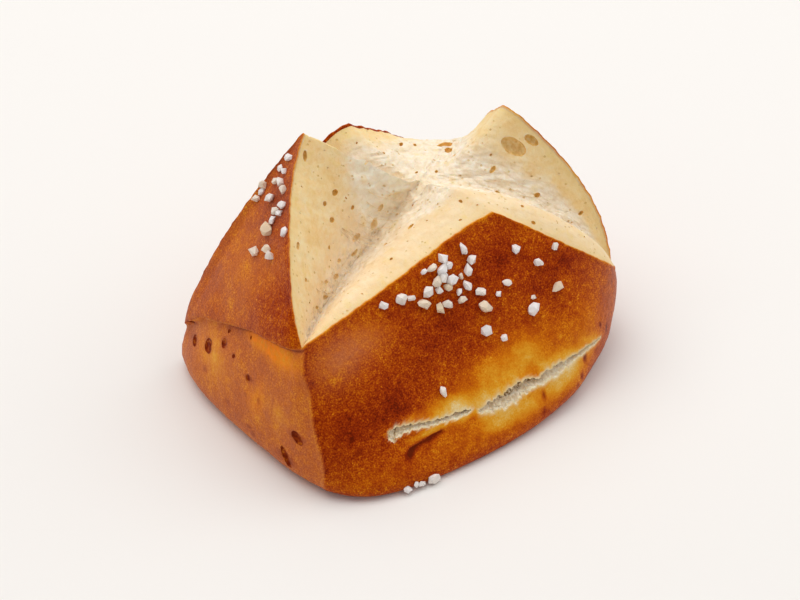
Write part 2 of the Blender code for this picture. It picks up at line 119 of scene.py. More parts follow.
def wander(along: Array, length: float, seed: int) -> Array:
    """A seeded wavering line between about -1 and 1.

    Args:
        along: How far along the line, in millimetres.
        length: The length of its longest wave.
        seed: The seed of its phases.

    Returns:
        The height of the line at each place.
    """
    rng = np.random.default_rng(seed)
    total = np.zeros(np.shape(along))
    for octave in range(4):
        wave = length / 1.9 ** octave * rng.uniform(0.8, 1.2)
        total = total + np.sin(2.0 * np.pi * along / wave + rng.uniform(0.0, 6.28)) / 1.45 ** octave
    return total / 2.0


# The form of the roll.


def way_round(points: Array) -> Array:
    """The way round a closed row of points, up to the end of each step."""
    return np.cumsum(np.linalg.norm(np.diff(points, axis=0, append=points[:1]), axis=1))


class Corner(Enum):
    """The four ends of the cross cut."""

    FRONT_LEFT = "front_left"
    FRONT_RIGHT = "front_right"
    BACK_RIGHT = "back_right"
    BACK_LEFT = "back_left"


class Side(Enum):
    """The four petals of crust between the ends of the cut."""

    FRONT = "front"
    RIGHT = "right"
    BACK = "back"
    LEFT = "left"


@dataclass(frozen=True)
class CutEnd:
    """One end of the cross cut, with the middle of the valley that runs from it."""

    place: Triple
    valley_middle: Triple
    columns: int


@dataclass(frozen=True)
class Petal:
    """One petal: its tip, where its slope faces, the ends beside it, its bows and its swelling."""

    tip: Triple
    slope: Pair
    corners: tuple[Corner, Corner]
    bows: tuple[Pair, Pair]
    swell: Pair


@dataclass(frozen=True)
class RollForm:
    """The rounded form of the roll, its cut edges and its valleys."""

    heart: Triple = (8.0, 10.0, 18.0)
    cross_middle: Triple = (9.5, 3.5, 39.5)
    rounding_power: float = 10.0
    blend: float = 6.0
    ends: dict[Corner, CutEnd] = field(default_factory=lambda: {
        Corner.FRONT_LEFT: CutEnd((-38.5, -17.5, 33.0), (-12.0, 1.0, 29.0), 104),
        Corner.FRONT_RIGHT: CutEnd((43.5, -20.0, 18.0), (31.0, -12.5, 35.0), 86),
        Corner.BACK_RIGHT: CutEnd((42.0, 26.0, 21.5), (28.0, 15.5, 39.0), 64),
        Corner.BACK_LEFT: CutEnd((-40.0, 26.0, 16.5), (-14.0, 16.5, 34.0), 70),
    })
    petals: dict[Side, Petal] = field(default_factory=lambda: {
        Side.FRONT: Petal((15.0, -17.0, 45.0), (-96.0, 35.0), (Corner.FRONT_LEFT, Corner.FRONT_RIGHT),
                          ((1.0, -0.5), (-7.5, -2.5)), (3.5, 0.55)),
        Side.RIGHT: Petal((33.0, 2.5, 56.0), (12.0, 29.0), (Corner.FRONT_RIGHT, Corner.BACK_RIGHT),
                          ((9.5, 0.5), (5.5, 1.5)), (-1.5, 0.5)),
        Side.BACK: Petal((2.0, 20.5, 54.0), (90.0, 10.0), (Corner.BACK_RIGHT, Corner.BACK_LEFT),
                         ((1.0, 0.5), (5.5, 1.5)), (0.5, 0.5)),
        Side.LEFT: Petal((-15.0, 14.5, 62.0), (157.0, 36.5), (Corner.BACK_LEFT, Corner.FRONT_LEFT),
                         ((2.0, -4.0), (-4.5, 0.5)), (1.5, 0.35)),
    })
    # The sides and the rounded underside: azimuth and elevation that each faces, and its distance.
    sides: tuple[Triple, ...] = (
        (180, 15, 53), (-158, 0, 68.5), (-135, 0, 93.5), (-112, 0, 87.5), (-90, 9, 68), (-68, 0, 57),
        (-45, 0, 57), (-22, 0, 64), (0, 8, 42), (45, 0, 46), (90, 2, 25), (135, 0, 52), (180, -42, 58.5),
        (-135, -35, 91), (-112, -38, 84.5), (-90, -42, 69.5), (-68, -38, 59.5), (-45, -35, 60.5),
        (0, -42, 52), (90, -42, 34), (0, -90, 19.5),
    )
    fill_at_end: float = 0.6
    fill_at_middle: float = 4.2
    fill_start: float = 0.2
    swell_full_width: float = 16.0

    @cached_property
    def middle(self) -> Array:
        """The heart as an array."""
        return np.array(self.heart)

    @cached_property
    def facings(self) -> list[tuple[Array, float]]:
        """The facing and distance of each side."""
        return [(direction(az, el), distance) for az, el, distance in self.sides]

    @cached_property
    def end_angles(self) -> dict[Corner, Pair]:
        """Azimuth and elevation of each end of the cut."""
        return {corner: self.angles(np.array(end.place)) for corner, end in self.ends.items()}

    @cached_property
    def tip_angles(self) -> dict[Side, Pair]:
        """Azimuth and elevation of each tip."""
        return {side: self.angles(np.array(petal.tip)) for side, petal in self.petals.items()}

    @cached_property
    def slopes(self) -> dict[Side, tuple[Array, float]]:
        """Facing and distance of each petal's slope, so that the crust passes through its tip."""
        found = {}
        for side, petal in self.petals.items():
            to_tip = np.array(petal.tip) - self.middle
            reach = np.linalg.norm(to_tip)
            facing = direction(*petal.slope)
            left_over = reach ** -self.rounding_power - self.side_sum(to_tip[None] / reach)[0]
            found[side] = (facing, (to_tip / reach @ facing) / left_over ** (1.0 / self.rounding_power))
        return found

    def angles(self, point: Array) -> Pair:
        """Azimuth and elevation of a point, seen from the heart."""
        x, y, z = point - self.middle
        return math.degrees(math.atan2(y, x)), math.degrees(math.atan2(z, math.hypot(x, y)))

    def side_sum(self, d: Array) -> Array:
        """What the sides add to the rounded form in the directions d."""
        total = np.zeros(d.shape[:-1])
        for facing, distance in self.facings:
            total = total + np.clip(d @ facing / distance, 0.0, None) ** self.rounding_power
        return total

    def petal_shares(self, azimuth: Array) -> dict[Side, Array]:
        """How the petals share the crust.

        Args:
            azimuth: Where round the roll.

        Returns:
            Each petal's share there. Beside a cut end two petals blend.
        """
        shares = {}
        for side, petal in self.petals.items():
            start, end = (self.end_angles[corner][0] for corner in petal.corners)
            width = (end - start) % 360.0
            past = (azimuth - start + self.blend) % 360.0 - self.blend
            before = (end - azimuth + self.blend) % 360.0 - self.blend
            inside = np.minimum(past, np.where(past <= width + self.blend, before, -self.blend))
            shares[side] = smooth((inside + self.blend) / (2.0 * self.blend))
        total = sum(shares.values())
        return {side: share / total for side, share in shares.items()}

    def radius(self, azimuth: Array, elevation: Array) -> Array:
        """How far the crust is from the heart, before its relief.

        Args:
            azimuth: Where round the roll.
            elevation: How high.

        Returns:
            The distance in millimetres.
        """
        d = direction(azimuth, elevation)
        sides = self.side_sum(d)
        radius = 0.0
        for side, share in self.petal_shares(np.broadcast_to(azimuth, sides.shape)).items():
            facing, distance = self.slopes[side]
            slope = np.clip(d @ facing / distance, 0.0, None) ** self.rounding_power
            radius = radius + share * (sides + slope) ** (-1.0 / self.rounding_power)
        return radius

    def point(self, azimuth: Array, elevation: Array, extra: Array | float = 0.0) -> Array:
        """Points of the crust, extra millimetres further out."""
        return Places(self, azimuth, elevation).points(extra)

    def edge_elevation(self, azimuth: Array) -> Array:
        """The cut edge, bowed between each cut end and the tip beside it.

        Args:
            azimuth: Where round the roll.

        Returns:
            Its elevation there.
        """
        elevation = np.full(azimuth.shape, np.nan)
        a = np.radians(azimuth)
        for side, petal in self.petals.items():
            tip = self.tip_angles[side]
            for corner, (once, twice) in zip(petal.corners, petal.bows):
                end = self.end_angles[corner]
                plane = np.cross(direction(*end), direction(*tip))
                along = wrap(azimuth - end[0]) / wrap(tip[0] - end[0])
                tangent = -(plane[0] * np.cos(a) + plane[1] * np.sin(a)) / plane[2]
                t = np.clip(along, 0.0, 1.0)
                bow = once * np.sin(np.pi * t) + twice * np.sin(2.0 * np.pi * t)
                here = (along >= -TOUCH) & (along <= 1.0 + TOUCH)
                elevation = np.where(here, np.degrees(np.arctan(tangent)) + bow, elevation)
        missing = np.isnan(elevation)
        if missing.any():
            known = np.flatnonzero(~missing)
            elevation[missing] = np.interp(np.flatnonzero(missing), known, elevation[known])
        return elevation

    def foot_elevation(self, azimuth: Array) -> Array:
        """Where the crust meets the table, found by halving.

        Args:
            azimuth: Where round the roll.

        Returns:
            The elevation of the foot there.
        """
        low = np.full(azimuth.shape, -89.0)
        high = np.zeros(azimuth.shape)
        for _ in range(30):
            middle = 0.5 * (low + high)
            under = self.point(azimuth, middle)[..., 2] < 0.0
            low = np.where(under, middle, low)
            high = np.where(under, high, middle)
        return high

    def edge_columns(self, side: Side, corner: Corner, samples: int = 400) -> Array:
        """Azimuths from a cut end to a tip, evenly spaced along the cut edge.

        Args:
            side: The petal.
            corner: The cut end that the columns start from.
            samples: How finely the edge is measured.

        Returns:
            One azimuth for each column and one for the tip.
        """
        start = self.end_angles[corner][0]
        azimuth = start + wrap(self.tip_angles[side][0] - start) * np.linspace(0.0, 1.0, samples)
        points = self.point(azimuth, self.edge_elevation(wrap(azimuth)))
        steps = np.linalg.norm(np.diff(points, axis=0), axis=1)
        run = np.concatenate([[0.0], np.cumsum(steps)]) / steps.sum()
        return np.interp(np.linspace(0.0, 1.0, self.ends[corner].columns + 1), run, azimuth)

    def valley(self, corner: Corner) -> Array:
        """The valley from a cut end to the middle of the cross.

        Args:
            corner: The cut end.

        Returns:
            One point for each column and one for the middle.
        """
        end = self.ends[corner]
        middle = np.array(self.cross_middle)
        start = self.point(*[np.array(angle) for angle in self.end_angles[corner]])
        pull = 2.0 * np.array(end.valley_middle) - 0.5 * (middle + start)
        t = np.linspace(0.0, 1.0, end.columns + 1)[:, None]
        return (1.0 - t) ** 2 * start + 2.0 * t * (1.0 - t) * pull + t * t * middle


@dataclass(frozen=True)
class Places:
    """Places on the crust: where round the roll and how high, in degrees seen from the heart."""

    form: RollForm
    azimuth: Array
    elevation: Array

    @cached_property
    def reach(self) -> Array:
        """Distance from the heart."""
        return self.form.radius(self.azimuth, self.elevation)

    def up(self, elevation: Array | float) -> Array:
        """Millimetres above an elevation."""
        return np.radians(self.elevation - elevation) * self.reach

    def across(self, azimuth: Array | float) -> Array:
        """Millimetres round the roll from an azimuth."""
        return np.radians(wrap(self.azimuth - azimuth)) * self.reach

    def away(self, azimuth: Array | float, elevation: Array | float, size: Pair = (1.0, 1.0)) -> Array:
        """How far from a place, in multiples of a size across and up in millimetres."""
        return np.hypot(self.across(azimuth) / size[0], self.up(elevation) / size[1])

    def points(self, extra: Array | float = 0.0) -> Array:
        """Points of the crust, extra millimetres further out."""
        return self.form.middle + direction(self.azimuth, self.elevation) * (self.reach + extra)[..., None]


@dataclass(frozen=True)
class Columns:
    """The columns that run round the roll, shared by its crust and its crumb."""

    form: RollForm
    azimuth: Array
    inner: Array
    side: list[Side]
    corner: list[Corner]
    step: Array
    along: Array
    unevenness: float = 0.16

    @classmethod
    def of(cls, form: RollForm) -> "Columns":
        """Walks round the four petals.

        Args:
            form: The form of the roll.

        Returns:
            Its columns, each cut end and each tip once.
        """
        azimuth, inner, side, corner, step, along = [], [], [], [], [], []
        for which, petal in form.petals.items():
            first, second = petal.corners
            for end, run in ((first, slice(None, -1)), (second, slice(None, 0, -1))):
                count = form.ends[end].columns
                azimuth += list(form.edge_columns(which, end)[run])
                inner += list(form.valley(end)[run])
                side += [which] * count
                corner += [end] * count
                step += list(np.arange(count + 1)[run])
                along += list(np.linspace(0.0, 1.0, count + 1)[run])
        return cls(form, wrap(np.array(azimuth)), np.array(inner), side, corner,
                   np.array(step), np.array(along))

    @property
    def count(self) -> int:
        """How many columns there are."""
        return len(self.azimuth)

    def at(self, side: Side | None = None, corner: Corner | None = None) -> Array:
        """Which columns belong to a petal, to a cut end, or to both."""
        return np.array([side in (None, s) and corner in (None, c) for s, c in zip(self.side, self.corner)])

    @cached_property
    def edge(self) -> Array:
        """Elevation of the cut edge, which the knife left a little uneven."""
        even = self.form.edge_elevation(self.azimuth)
        run = way_round(self.form.point(self.azimuth, even))
        fade = smooth(self.along * 8.0) * smooth((1.0 - self.along) * 12.0)
        uneven = self.unevenness * wander(run, 7.0, SEED + 5) * fade
        return even + np.degrees(uneven / self.form.radius(self.azimuth, even))

    @cached_property
    def edge_points(self) -> Array:
        """Points of the uneven cut edge."""
        return self.form.point(self.azimuth, self.edge)

    @cached_property
    def foot(self) -> Array:
        """Elevation at which each column meets the table."""
        return self.form.foot_elevation(self.azimuth)

    @cached_property
    def width(self) -> Array:
        """How far each cut edge is from the valley."""
        return np.linalg.norm(self.edge_points - self.inner, axis=1)

    @cached_property
    def inward(self) -> Array:
        """The direction along the crumb from the cut edge to the valley."""
        return unit(crumb_row(self, 0.97) - self.edge_points)


def crumb_row(columns: Columns, share: float) -> Array:
    """One row of the crumb.

    Args:
        columns: The columns of the roll.
        share: How far from the valley to the cut edge, from 0 to 1.

    Returns:
        A point for each column.
    """
    form = columns.form
    height = np.array([form.petals[side].swell[0] for side in columns.side])
    peak = np.array([form.petals[side].swell[1] for side in columns.side])
    hump = np.sin(np.pi * share ** (np.log(0.5) / np.log(peak)))
    points = columns.inner + (columns.edge_points - columns.inner) * share
    points[:, 2] += height * hump * np.minimum(1.0, columns.width / form.swell_full_width)
    fill = form.fill_at_end + (form.fill_at_middle - form.fill_at_end) * columns.along ** 2
    rise = np.maximum(columns.edge_points[:, 2] - columns.inner[:, 2], 0.0)
    soft = smooth(columns.along / form.fill_start)
    points[:, 2] += fill * np.exp(-rise * share / fill) * (1.0 - share) * soft
    return points


# Relief of the crust.


@dataclass(frozen=True)
class CrustRelief:
    """The fold, the upright ridge, the swollen back and the slow unevenness of the crust."""

    fold_line: tuple[Pair, ...] = ((-200.0, -9.0), (-194.5, -3.5), (-188.0, 2.5), (-176.5, 7.5),
                                   (-165.5, 12), (-149, 15.5))
    fold_rise: float = 0.9
    fold_drop: float = 0.8
    fold_width: float = 1.1
    fold_reach: float = 9.0
    ridge_line: tuple[Pair, ...] = ((-149.0, 15.5), (-148.0, 10.0), (-146.0, 6.0), (-144.5, 0.0),
                                    (-142, -6), (-141, -10.5))
    ridge_rise: float = 0.9
    ridge_width: float = 2.2
    back_swell: float = 3.2
    back_azimuth: float = 95.0
    back_reach: float = 58.0
    waves: int = 9
    wave_height: float = 0.22
    wave_length: Pair = (9.0, 24.0)

    def along_fold(self, azimuth: Array) -> tuple[Array, Array]:
        """The fold's elevation at each azimuth, and the share of the fold that is passed."""
        line = np.array(self.fold_line)
        low, high = line[:, 0].min(), line[:, 0].max()
        turned = low + (azimuth - low + 20.0) % 360.0 - 20.0
        return np.interp(turned, line[:, 0], line[:, 1]), (turned - low) / (high - low)

    def past_ridge(self, places: Places) -> Array:
        """Millimetres past the upright ridge, towards the front."""
        line = np.array(self.ridge_line)[::-1]
        return places.across(np.interp(places.elevation, line[:, 1], line[:, 0]))

    def fold(self, places: Places) -> Array:
        """The left petal stands proud of the cut side below its fold."""
        height, share = self.along_fold(places.azimuth)
        up = places.up(height)
        inside = smooth(share / 0.12) * smooth((1.0 - share) / 0.06)
        step = smooth(0.5 + up / self.fold_width)
        lift = self.fold_rise * step - self.fold_drop * (1.0 - step)
        return inside * bell(up / self.fold_reach) * lift

    def ridge(self, places: Places) -> Array:
        """The upright ridge that the cut side and the front make."""
        across = self.past_ridge(places) * np.cos(np.radians(places.elevation))
        below = smooth((self.ridge_line[0][1] - places.elevation) / 6.0)
        return self.ridge_rise * below * np.exp(-np.abs(across) / self.ridge_width)

    def back(self, azimuth: Array, share: Array) -> Array:
        """The swelling of the back side."""
        across = np.clip(wrap(azimuth - self.back_azimuth) / self.back_reach, -1.0, 1.0)
        return self.back_swell * np.cos(0.5 * np.pi * across) ** 2 * np.sin(np.pi * share)

    def slow_waves(self, points: Array) -> Array:
        """Slow seeded unevenness.

        Args:
            points: Points of the plain form.

        Returns:
            Millimetres further out at each.
        """
        rng = np.random.default_rng(SEED)
        total = np.zeros(points.shape[:-1])
        for _ in range(self.waves):
            length = rng.uniform(*self.wave_length)
            heading = rng.normal(size=3)
            heading /= np.linalg.norm(heading)
            phase = rng.uniform(0.0, 2.0 * np.pi)
            total = total + np.sin(points @ heading * (2.0 * np.pi / length) + phase)
        return self.wave_height * total / math.sqrt(self.waves)

    def height(self, places: Places, share: Array) -> Array:
        """The whole relief.

        Args:
            places: Where on the crust.
            share: The share of the way from the foot to the cut edge.

        Returns:
            Millimetres further out than the plain form.
        """
        relief = self.fold(places) + self.ridge(places) + self.slow_waves(places.points())
        fade = smooth(share / 0.12) * smooth((1.0 - share) / 0.08)
        return relief * fade + self.back(places.azimuth, share)


@dataclass(frozen=True)
class Split:
    """The side split along the front, which a bridge of crust parts in two."""

    form: RollForm
    # Azimuth, elevation and half the gap at the stations of each part.
    parts: tuple[tuple[Triple, ...], ...] = (
        ((-129, -5.2, 0.6), (-127.8, -5.1, 1.15), (-125.5, -5, 0.65), (-123, -5.4, 0.5),
         (-118.5, -6.3, 0.4), (-115, -6.6, 0.4), (-111, -6.9, 0.5), (-108.5, -7.1, 0.35),
         (-107.3, -7.2, 0.1)),
        ((-105.5, -8.1, 0.2), (-102.5, -8, 0.8), (-98, -8, 1.2), (-94, -7.6, 1.35),
         (-89.5, -7.2, 1.1), (-86, -8, 0.7), (-81.5, -7.4, 1), (-77, -7.2, 0.85),
         (-72.5, -7, 0.5), (-66.5, -6.8, 0.45), (-61, -7.2, 0.1)),
    )
    ragged: float = 0.42
    depth: float = 2.6
    proud: float = 2.0

    def centre(self, azimuth: Array) -> Array:
        """Elevation of the middle of the split."""
        line = np.array([station for part in self.parts for station in part])
        return np.interp(azimuth, line[:, 0], line[:, 1])

    def half_gap(self, azimuth: Array) -> Array:
        """Half the gap, nothing beyond its ends and at the bridge."""
        gaps = [np.interp(azimuth, [s[0] for s in part], [s[2] for s in part], left=0.0, right=0.0)
                for part in self.parts]
        return np.maximum(*gaps)

    def lips(self, azimuth: Array) -> tuple[Array, Array]:
        """The ragged lips of the split.

        Args:
            azimuth: Where along the split.

        Returns:
            How far the upper and the lower lip are from its middle, in millimetres.
        """
        run = np.radians(azimuth) * self.form.radius(azimuth, self.centre(azimuth))
        half = self.half_gap(azimuth)
        rough = self.ragged * np.minimum(half, 1.0)
        upper = half + rough * wander(run, 3.4, SEED + 11) + 0.3 * rough * wander(run, 0.9, SEED + 12)
        lower = half + rough * wander(run, 4.3, SEED + 13) + 0.3 * rough * wander(run, 1.1, SEED + 14)
        return np.maximum(upper, 0.08), np.maximum(lower, 0.08)

    def away(self, places: Places) -> Array:
        """How far places are from the split's outline.

        Args:
            places: Where on the crust.

        Returns:
            Millimetres from the nearer lip and, past the split's ends, from its nearer end.
        """
        azimuth, up = places.azimuth, places.up(self.centre(places.azimuth))
        upper, lower = self.lips(azimuth)
        beyond = np.full(np.shape(azimuth), np.inf)
        for part in self.parts:
            past = np.maximum(part[0][0] - azimuth, azimuth - part[-1][0])
            beyond = np.minimum(beyond, np.maximum(np.radians(past) * places.reach, 0.0))
        return np.hypot(np.maximum(up - upper, -lower - up), beyond)


# Meshes.


def ring_faces(rows: Array | list[Array]) -> Array:
    """Quads between closed rows of point numbers, facing out when columns run counter-clockwise."""
    return np.concatenate([np.stack([low, np.roll(low, -1), np.roll(high, -1), high], axis=1)
                           for low, high in zip(rows[:-1], rows[1:])])


def in_scene(name: str, data: bpy.types.ID) -> Piece:
    """An object in the scene for a mesh, a light or a camera."""
    obj = bpy.data.objects.new(name, data)
    bpy.context.scene.collection.objects.link(obj)
    return obj


def in_frame(points: Array) -> Array:
    """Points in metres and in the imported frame."""
    return (np.asarray(points, float) + TO_FRAME) * MM


def vertex_places(obj: Piece) -> Array:
    """The places of an object's points, in metres."""
    points = np.empty(len(obj.data.vertices) * 3)
    obj.data.vertices.foreach_get("co", points)
    return points.reshape(-1, 3)


def mesh_object(name: str, points: Array, faces: list[list[int]],
                materials: list[Material]) -> Piece:
    """Makes a scene object from points in millimetres, in the place where the roll is worked out.

    Args:
        name: The object's name.
        points: One row of three numbers for each point.
        faces: Point numbers of each face.
        materials: Its material slots.

    Returns:
        The object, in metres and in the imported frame.
    """
    mesh = bpy.data.meshes.new(name)
    mesh.from_pydata(in_frame(points).tolist(), [], faces)
    for material in materials:
        mesh.materials.append(material)
    mesh.polygons.foreach_set("use_smooth", np.ones(len(mesh.polygons), bool))
    return in_scene(name, mesh)


def turn_outward(obj: Piece) -> None:
    """Turns a closed mesh so that its faces point out."""
    mesh = obj.data
    mesh.calc_loop_triangles()
    corners = np.empty(len(mesh.loop_triangles) * 3, np.int32)
    mesh.loop_triangles.foreach_get("vertices", corners)
    if np.linalg.det(vertex_places(obj)[corners.reshape(-1, 3)]).sum() < 0.0:
        mesh.flip_normals()


def loft(name: str, rings: Array, finish: Material) -> Piece:
    """Makes a closed solid through rings of points.

    Args:
        name: The object's name.
        rings: Its rings, each a row of points in millimetres.
        finish: Its material.

    Returns:
        The object, with its faces pointing out.
    """
    index = np.arange(rings.shape[0] * rings.shape[1]).reshape(rings.shape[:2])
    faces = ring_faces(index).tolist() + [index[0][::-1].tolist(), index[-1].tolist()]
    obj = mesh_object(name, rings.reshape(-1, 3), faces, [finish])
    turn_outward(obj)
    return obj


def add_attribute(obj: Piece, name: str, values: Array) -> None:
    """Stores one number, or one vector, for each point."""
    values = np.asarray(values, np.float32)
    kind, key = ("FLOAT_VECTOR", "vector") if values.ndim == 2 else ("FLOAT", "value")
    layer = obj.data.attributes.new(name, kind, "POINT")
    layer.data.foreach_set(key, values.ravel())


def bake_modifiers(obj: Piece) -> None:
    """Makes the evaluated mesh the object's own, and removes its modifiers."""
    graph = bpy.context.evaluated_depsgraph_get()
    made = bpy.data.meshes.new_from_object(obj.evaluated_get(graph))
    obj.modifiers.clear()
    old = obj.data
    obj.data = made
    bpy.data.meshes.remove(old)


def carve(obj: Piece, cutters: list[Piece]) -> None:
    """Cuts the cutters out of an object and removes them.

    Args:
        obj: The object that is cut.
        cutters: Closed objects, whose material goes to the cut faces.
    """
    group = bpy.data.collections.new(obj.name + "_cutters")
    bpy.context.scene.collection.children.link(group)
    for cutter in cutters:
        group.objects.link(cutter)
        bpy.context.scene.collection.objects.unlink(cutter)
    modifier = obj.modifiers.new("carve", "BOOLEAN")
    modifier.operation = "DIFFERENCE"
    modifier.operand_type = "COLLECTION"
    modifier.collection = group
    modifier.solver = "MANIFOLD"
    modifier.material_mode = "TRANSFER"
    bake_modifiers(obj)
    for cutter in cutters:
        bpy.data.objects.remove(cutter)
    bpy.data.collections.remove(group)


def search_tree(obj: Piece) -> BVHTree:
    """A search tree over an object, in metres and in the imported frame."""
    faces = [tuple(face.vertices) for face in obj.data.polygons]
    return BVHTree.FromPolygons(vertex_places(obj).tolist(), faces)


def nearest(tree: BVHTree, near: Array) -> tuple[Vector, Vector]:
    """The surface's place and facing nearest to a point in millimetres, where the roll is worked out."""
    return tree.find_nearest(Vector(in_frame(near)))[:2]


# Expressions on node sockets.


class Wire:
    """An output socket that takes part in Python expressions, each of which adds a Math node."""

    def __init__(self, board: "Board", socket: bpy.types.NodeSocket) -> None:
        """Keeps the board and the socket."""
        self.board = board
        self.socket = socket

    def __add__(self, other: "Term") -> "Wire":
        """The sum."""
        return self.board.math("ADD", self, other)

    __radd__ = __add__

    def __mul__(self, other: "Term") -> "Wire":
        """The product."""
        return self.board.math("MULTIPLY", self, other)

    __rmul__ = __mul__

    def __sub__(self, other: "Term") -> "Wire":
        """The difference."""
        return self.board.math("SUBTRACT", self, other)

    def __rsub__(self, other: "Term") -> "Wire":
        """The difference, the other way round."""
        return self.board.math("SUBTRACT", other, self)

    def __pow__(self, other: "Term") -> "Wire":
        """The power."""
        return self.board.math("POWER", self, other)


Term = Wire | float


class Board:
    """The nodes of one tree, of a material or of geometry."""

    place: Wire

    def __init__(self, tree: bpy.types.NodeTree) -> None:
        """Keeps the tree."""
        self.tree = tree

    def node(self, kind: str, settings: dict | None = None,
             inputs: dict | None = None) -> bpy.types.Node:
        """Adds any node.

        Args:
            kind: The node's type.
            settings: Its properties, which are set first.
            inputs: Values or wires by socket name or number.

        Returns:
            The node.
        """
        made = self.tree.nodes.new(kind)
        for name, value in (settings or {}).items():
            setattr(made, name, value)
        for key, value in (inputs or {}).items():
            socket = made.inputs[key]
            if isinstance(value, Wire):
                self.tree.links.new(value.socket, socket)
            else:
                socket.default_value = value
        return made

    def out(self, node: bpy.types.Node, key: int | str = 0) -> Wire:
        """One output of a node."""
        return Wire(self, node.outputs[key])

    def get(self, kind: str, settings: dict | None = None, inputs: dict | None = None,
            key: int | str = 0) -> Wire:
        """One output of a new node."""
        return self.out(self.node(kind, settings, inputs), key)

    def math(self, operation: str, *terms: Term) -> Wire:
        """A Math node on wires and numbers."""
        return self.get("ShaderNodeMath", {"operation": operation}, dict(enumerate(terms)))

    def vector(self, operation: str, *terms: Wire | Triple, scale: Term | None = None) -> Wire:
        """A Vector Math node."""
        inputs: dict = dict(enumerate(terms))
        if scale is not None:
            inputs[3] = scale
        return self.get("ShaderNodeVectorMath", {"operation": operation}, inputs)

    def ease(self, value: Term, low: float, high: float) -> Wire:
        """An S curve from 0 at low to 1 at high."""
        settings = {"interpolation_type": "SMOOTHSTEP"}
        inputs = {0: value, 1: low, 2: high, 3: 0.0, 4: 1.0}
        return self.get("ShaderNodeMapRange", settings, inputs)

    def noise(self, size: float, detail: float = 2.0, rough: float = 0.5, swirl: float = 0.0,
              key: int | str = 0, place: Wire | None = None) -> Wire:
        """Noise from about 0.2 to 0.8.

        Args:
            size: How far apart its blobs are, in millimetres.
            detail: How many finer layers it has.
            rough: How strong these are.
            swirl: How much it is stirred.
            key: Its output, of a number or of a colour.
            place: Where it is read, if not at the place itself.

        Returns:
            The output.
        """
        inputs = {"Vector": place or self.place, "Scale": 1.0 / (size * MM), "Detail": detail,
                  "Roughness": rough, "Distortion": swirl}
        return self.get("ShaderNodeTexNoise", None, inputs, key)

    def cells(self, size: float) -> Wire:
        """Distance to the nearest of scattered points that lie a size in millimetres apart."""
        inputs = {"Vector": self.place, "Scale": 1.0 / (size * MM), "Randomness": 1.0}
        return self.get("ShaderNodeTexVoronoi", {"feature": "F1"}, inputs)


class Paint(Board):
    """The nodes of a material."""

    def __init__(self, name: str) -> None:
        """Makes the material, with its shader."""
        self.material = bpy.data.materials.new(name)
        self.material.use_nodes = True
        super().__init__(self.material.node_tree)
        self.shader = self.tree.nodes["Principled BSDF"]
        self.place = self.get("ShaderNodeTexCoord", key="Object")

    def mask(self, name: str) -> Wire:
        """A number that the mesh carries at each point."""
        return self.get("ShaderNodeAttribute", {"attribute_name": name}, key="Fac")

    def mix(self, share: Term, one: Wire | tuple, other: Wire | tuple) -> Wire:
        """A colour between two colours."""
        settings = {"data_type": "RGBA", "blend_type": "MIX", "clamp_factor": True}
        colours = [c if isinstance(c, Wire) else (*c, 1.0) for c in (one, other)]
        inputs = {0: share, 6: colours[0], 7: colours[1]}
        return self.get("ShaderNodeMix", settings, inputs, 2)

    def ramp(self, value: Wire, stops: Stops) -> Wire:
        """A colour from a ramp of stops."""
        made = self.node("ShaderNodeValToRGB", None, {0: value})
        points = made.color_ramp.elements
        while len(points) < len(stops):
            points.new(0.5)
        for point, (place, colour) in zip(points, stops):
            point.position = place
            point.color = (*colour, 1.0)
        return self.out(made, 0)

    def bump(self, height: Wire, depth: float, strength: float) -> Wire:
        """A bumped normal, for a height of 0 to 1 that stands for a depth in millimetres."""
        inputs = {"Height": height, "Distance": depth * MM, "Strength": strength}
        return self.get("ShaderNodeBump", None, inputs)

    def finish(self, colour: Wire | tuple, roughness: Wire | float, normal: Wire | None = None,
               specular: float = 0.5, glint: Triple = (1.0, 1.0, 1.0),
               soft: Softness = (0.0, 0.0, (1.0, 0.2, 0.1))) -> Material:
        """Sets the shader.

        Args:
            colour: Its colour.
            roughness: Its roughness.
            normal: Its bumped normal.
            specular: How strongly it reflects, where 0.5 is usual.
            glint: The tint of its reflections.
            soft: The weight, the reach in millimetres and the tint of the light that goes into it.

        Returns:
            The material.
        """
        weight, reach, tint = soft
        values = {"Base Color": colour, "Roughness": roughness, "Normal": normal,
                  "Specular IOR Level": specular, "Specular Tint": (*glint, 1.0),
                  "Subsurface Weight": weight, "Subsurface Scale": reach * MM, "Subsurface Radius": tint}
        for name, value in values.items():
            if isinstance(value, Wire):
                self.tree.links.new(value.socket, self.shader.inputs[name])
            elif value is not None:
                self.shader.inputs[name].default_value = value
        return self.material


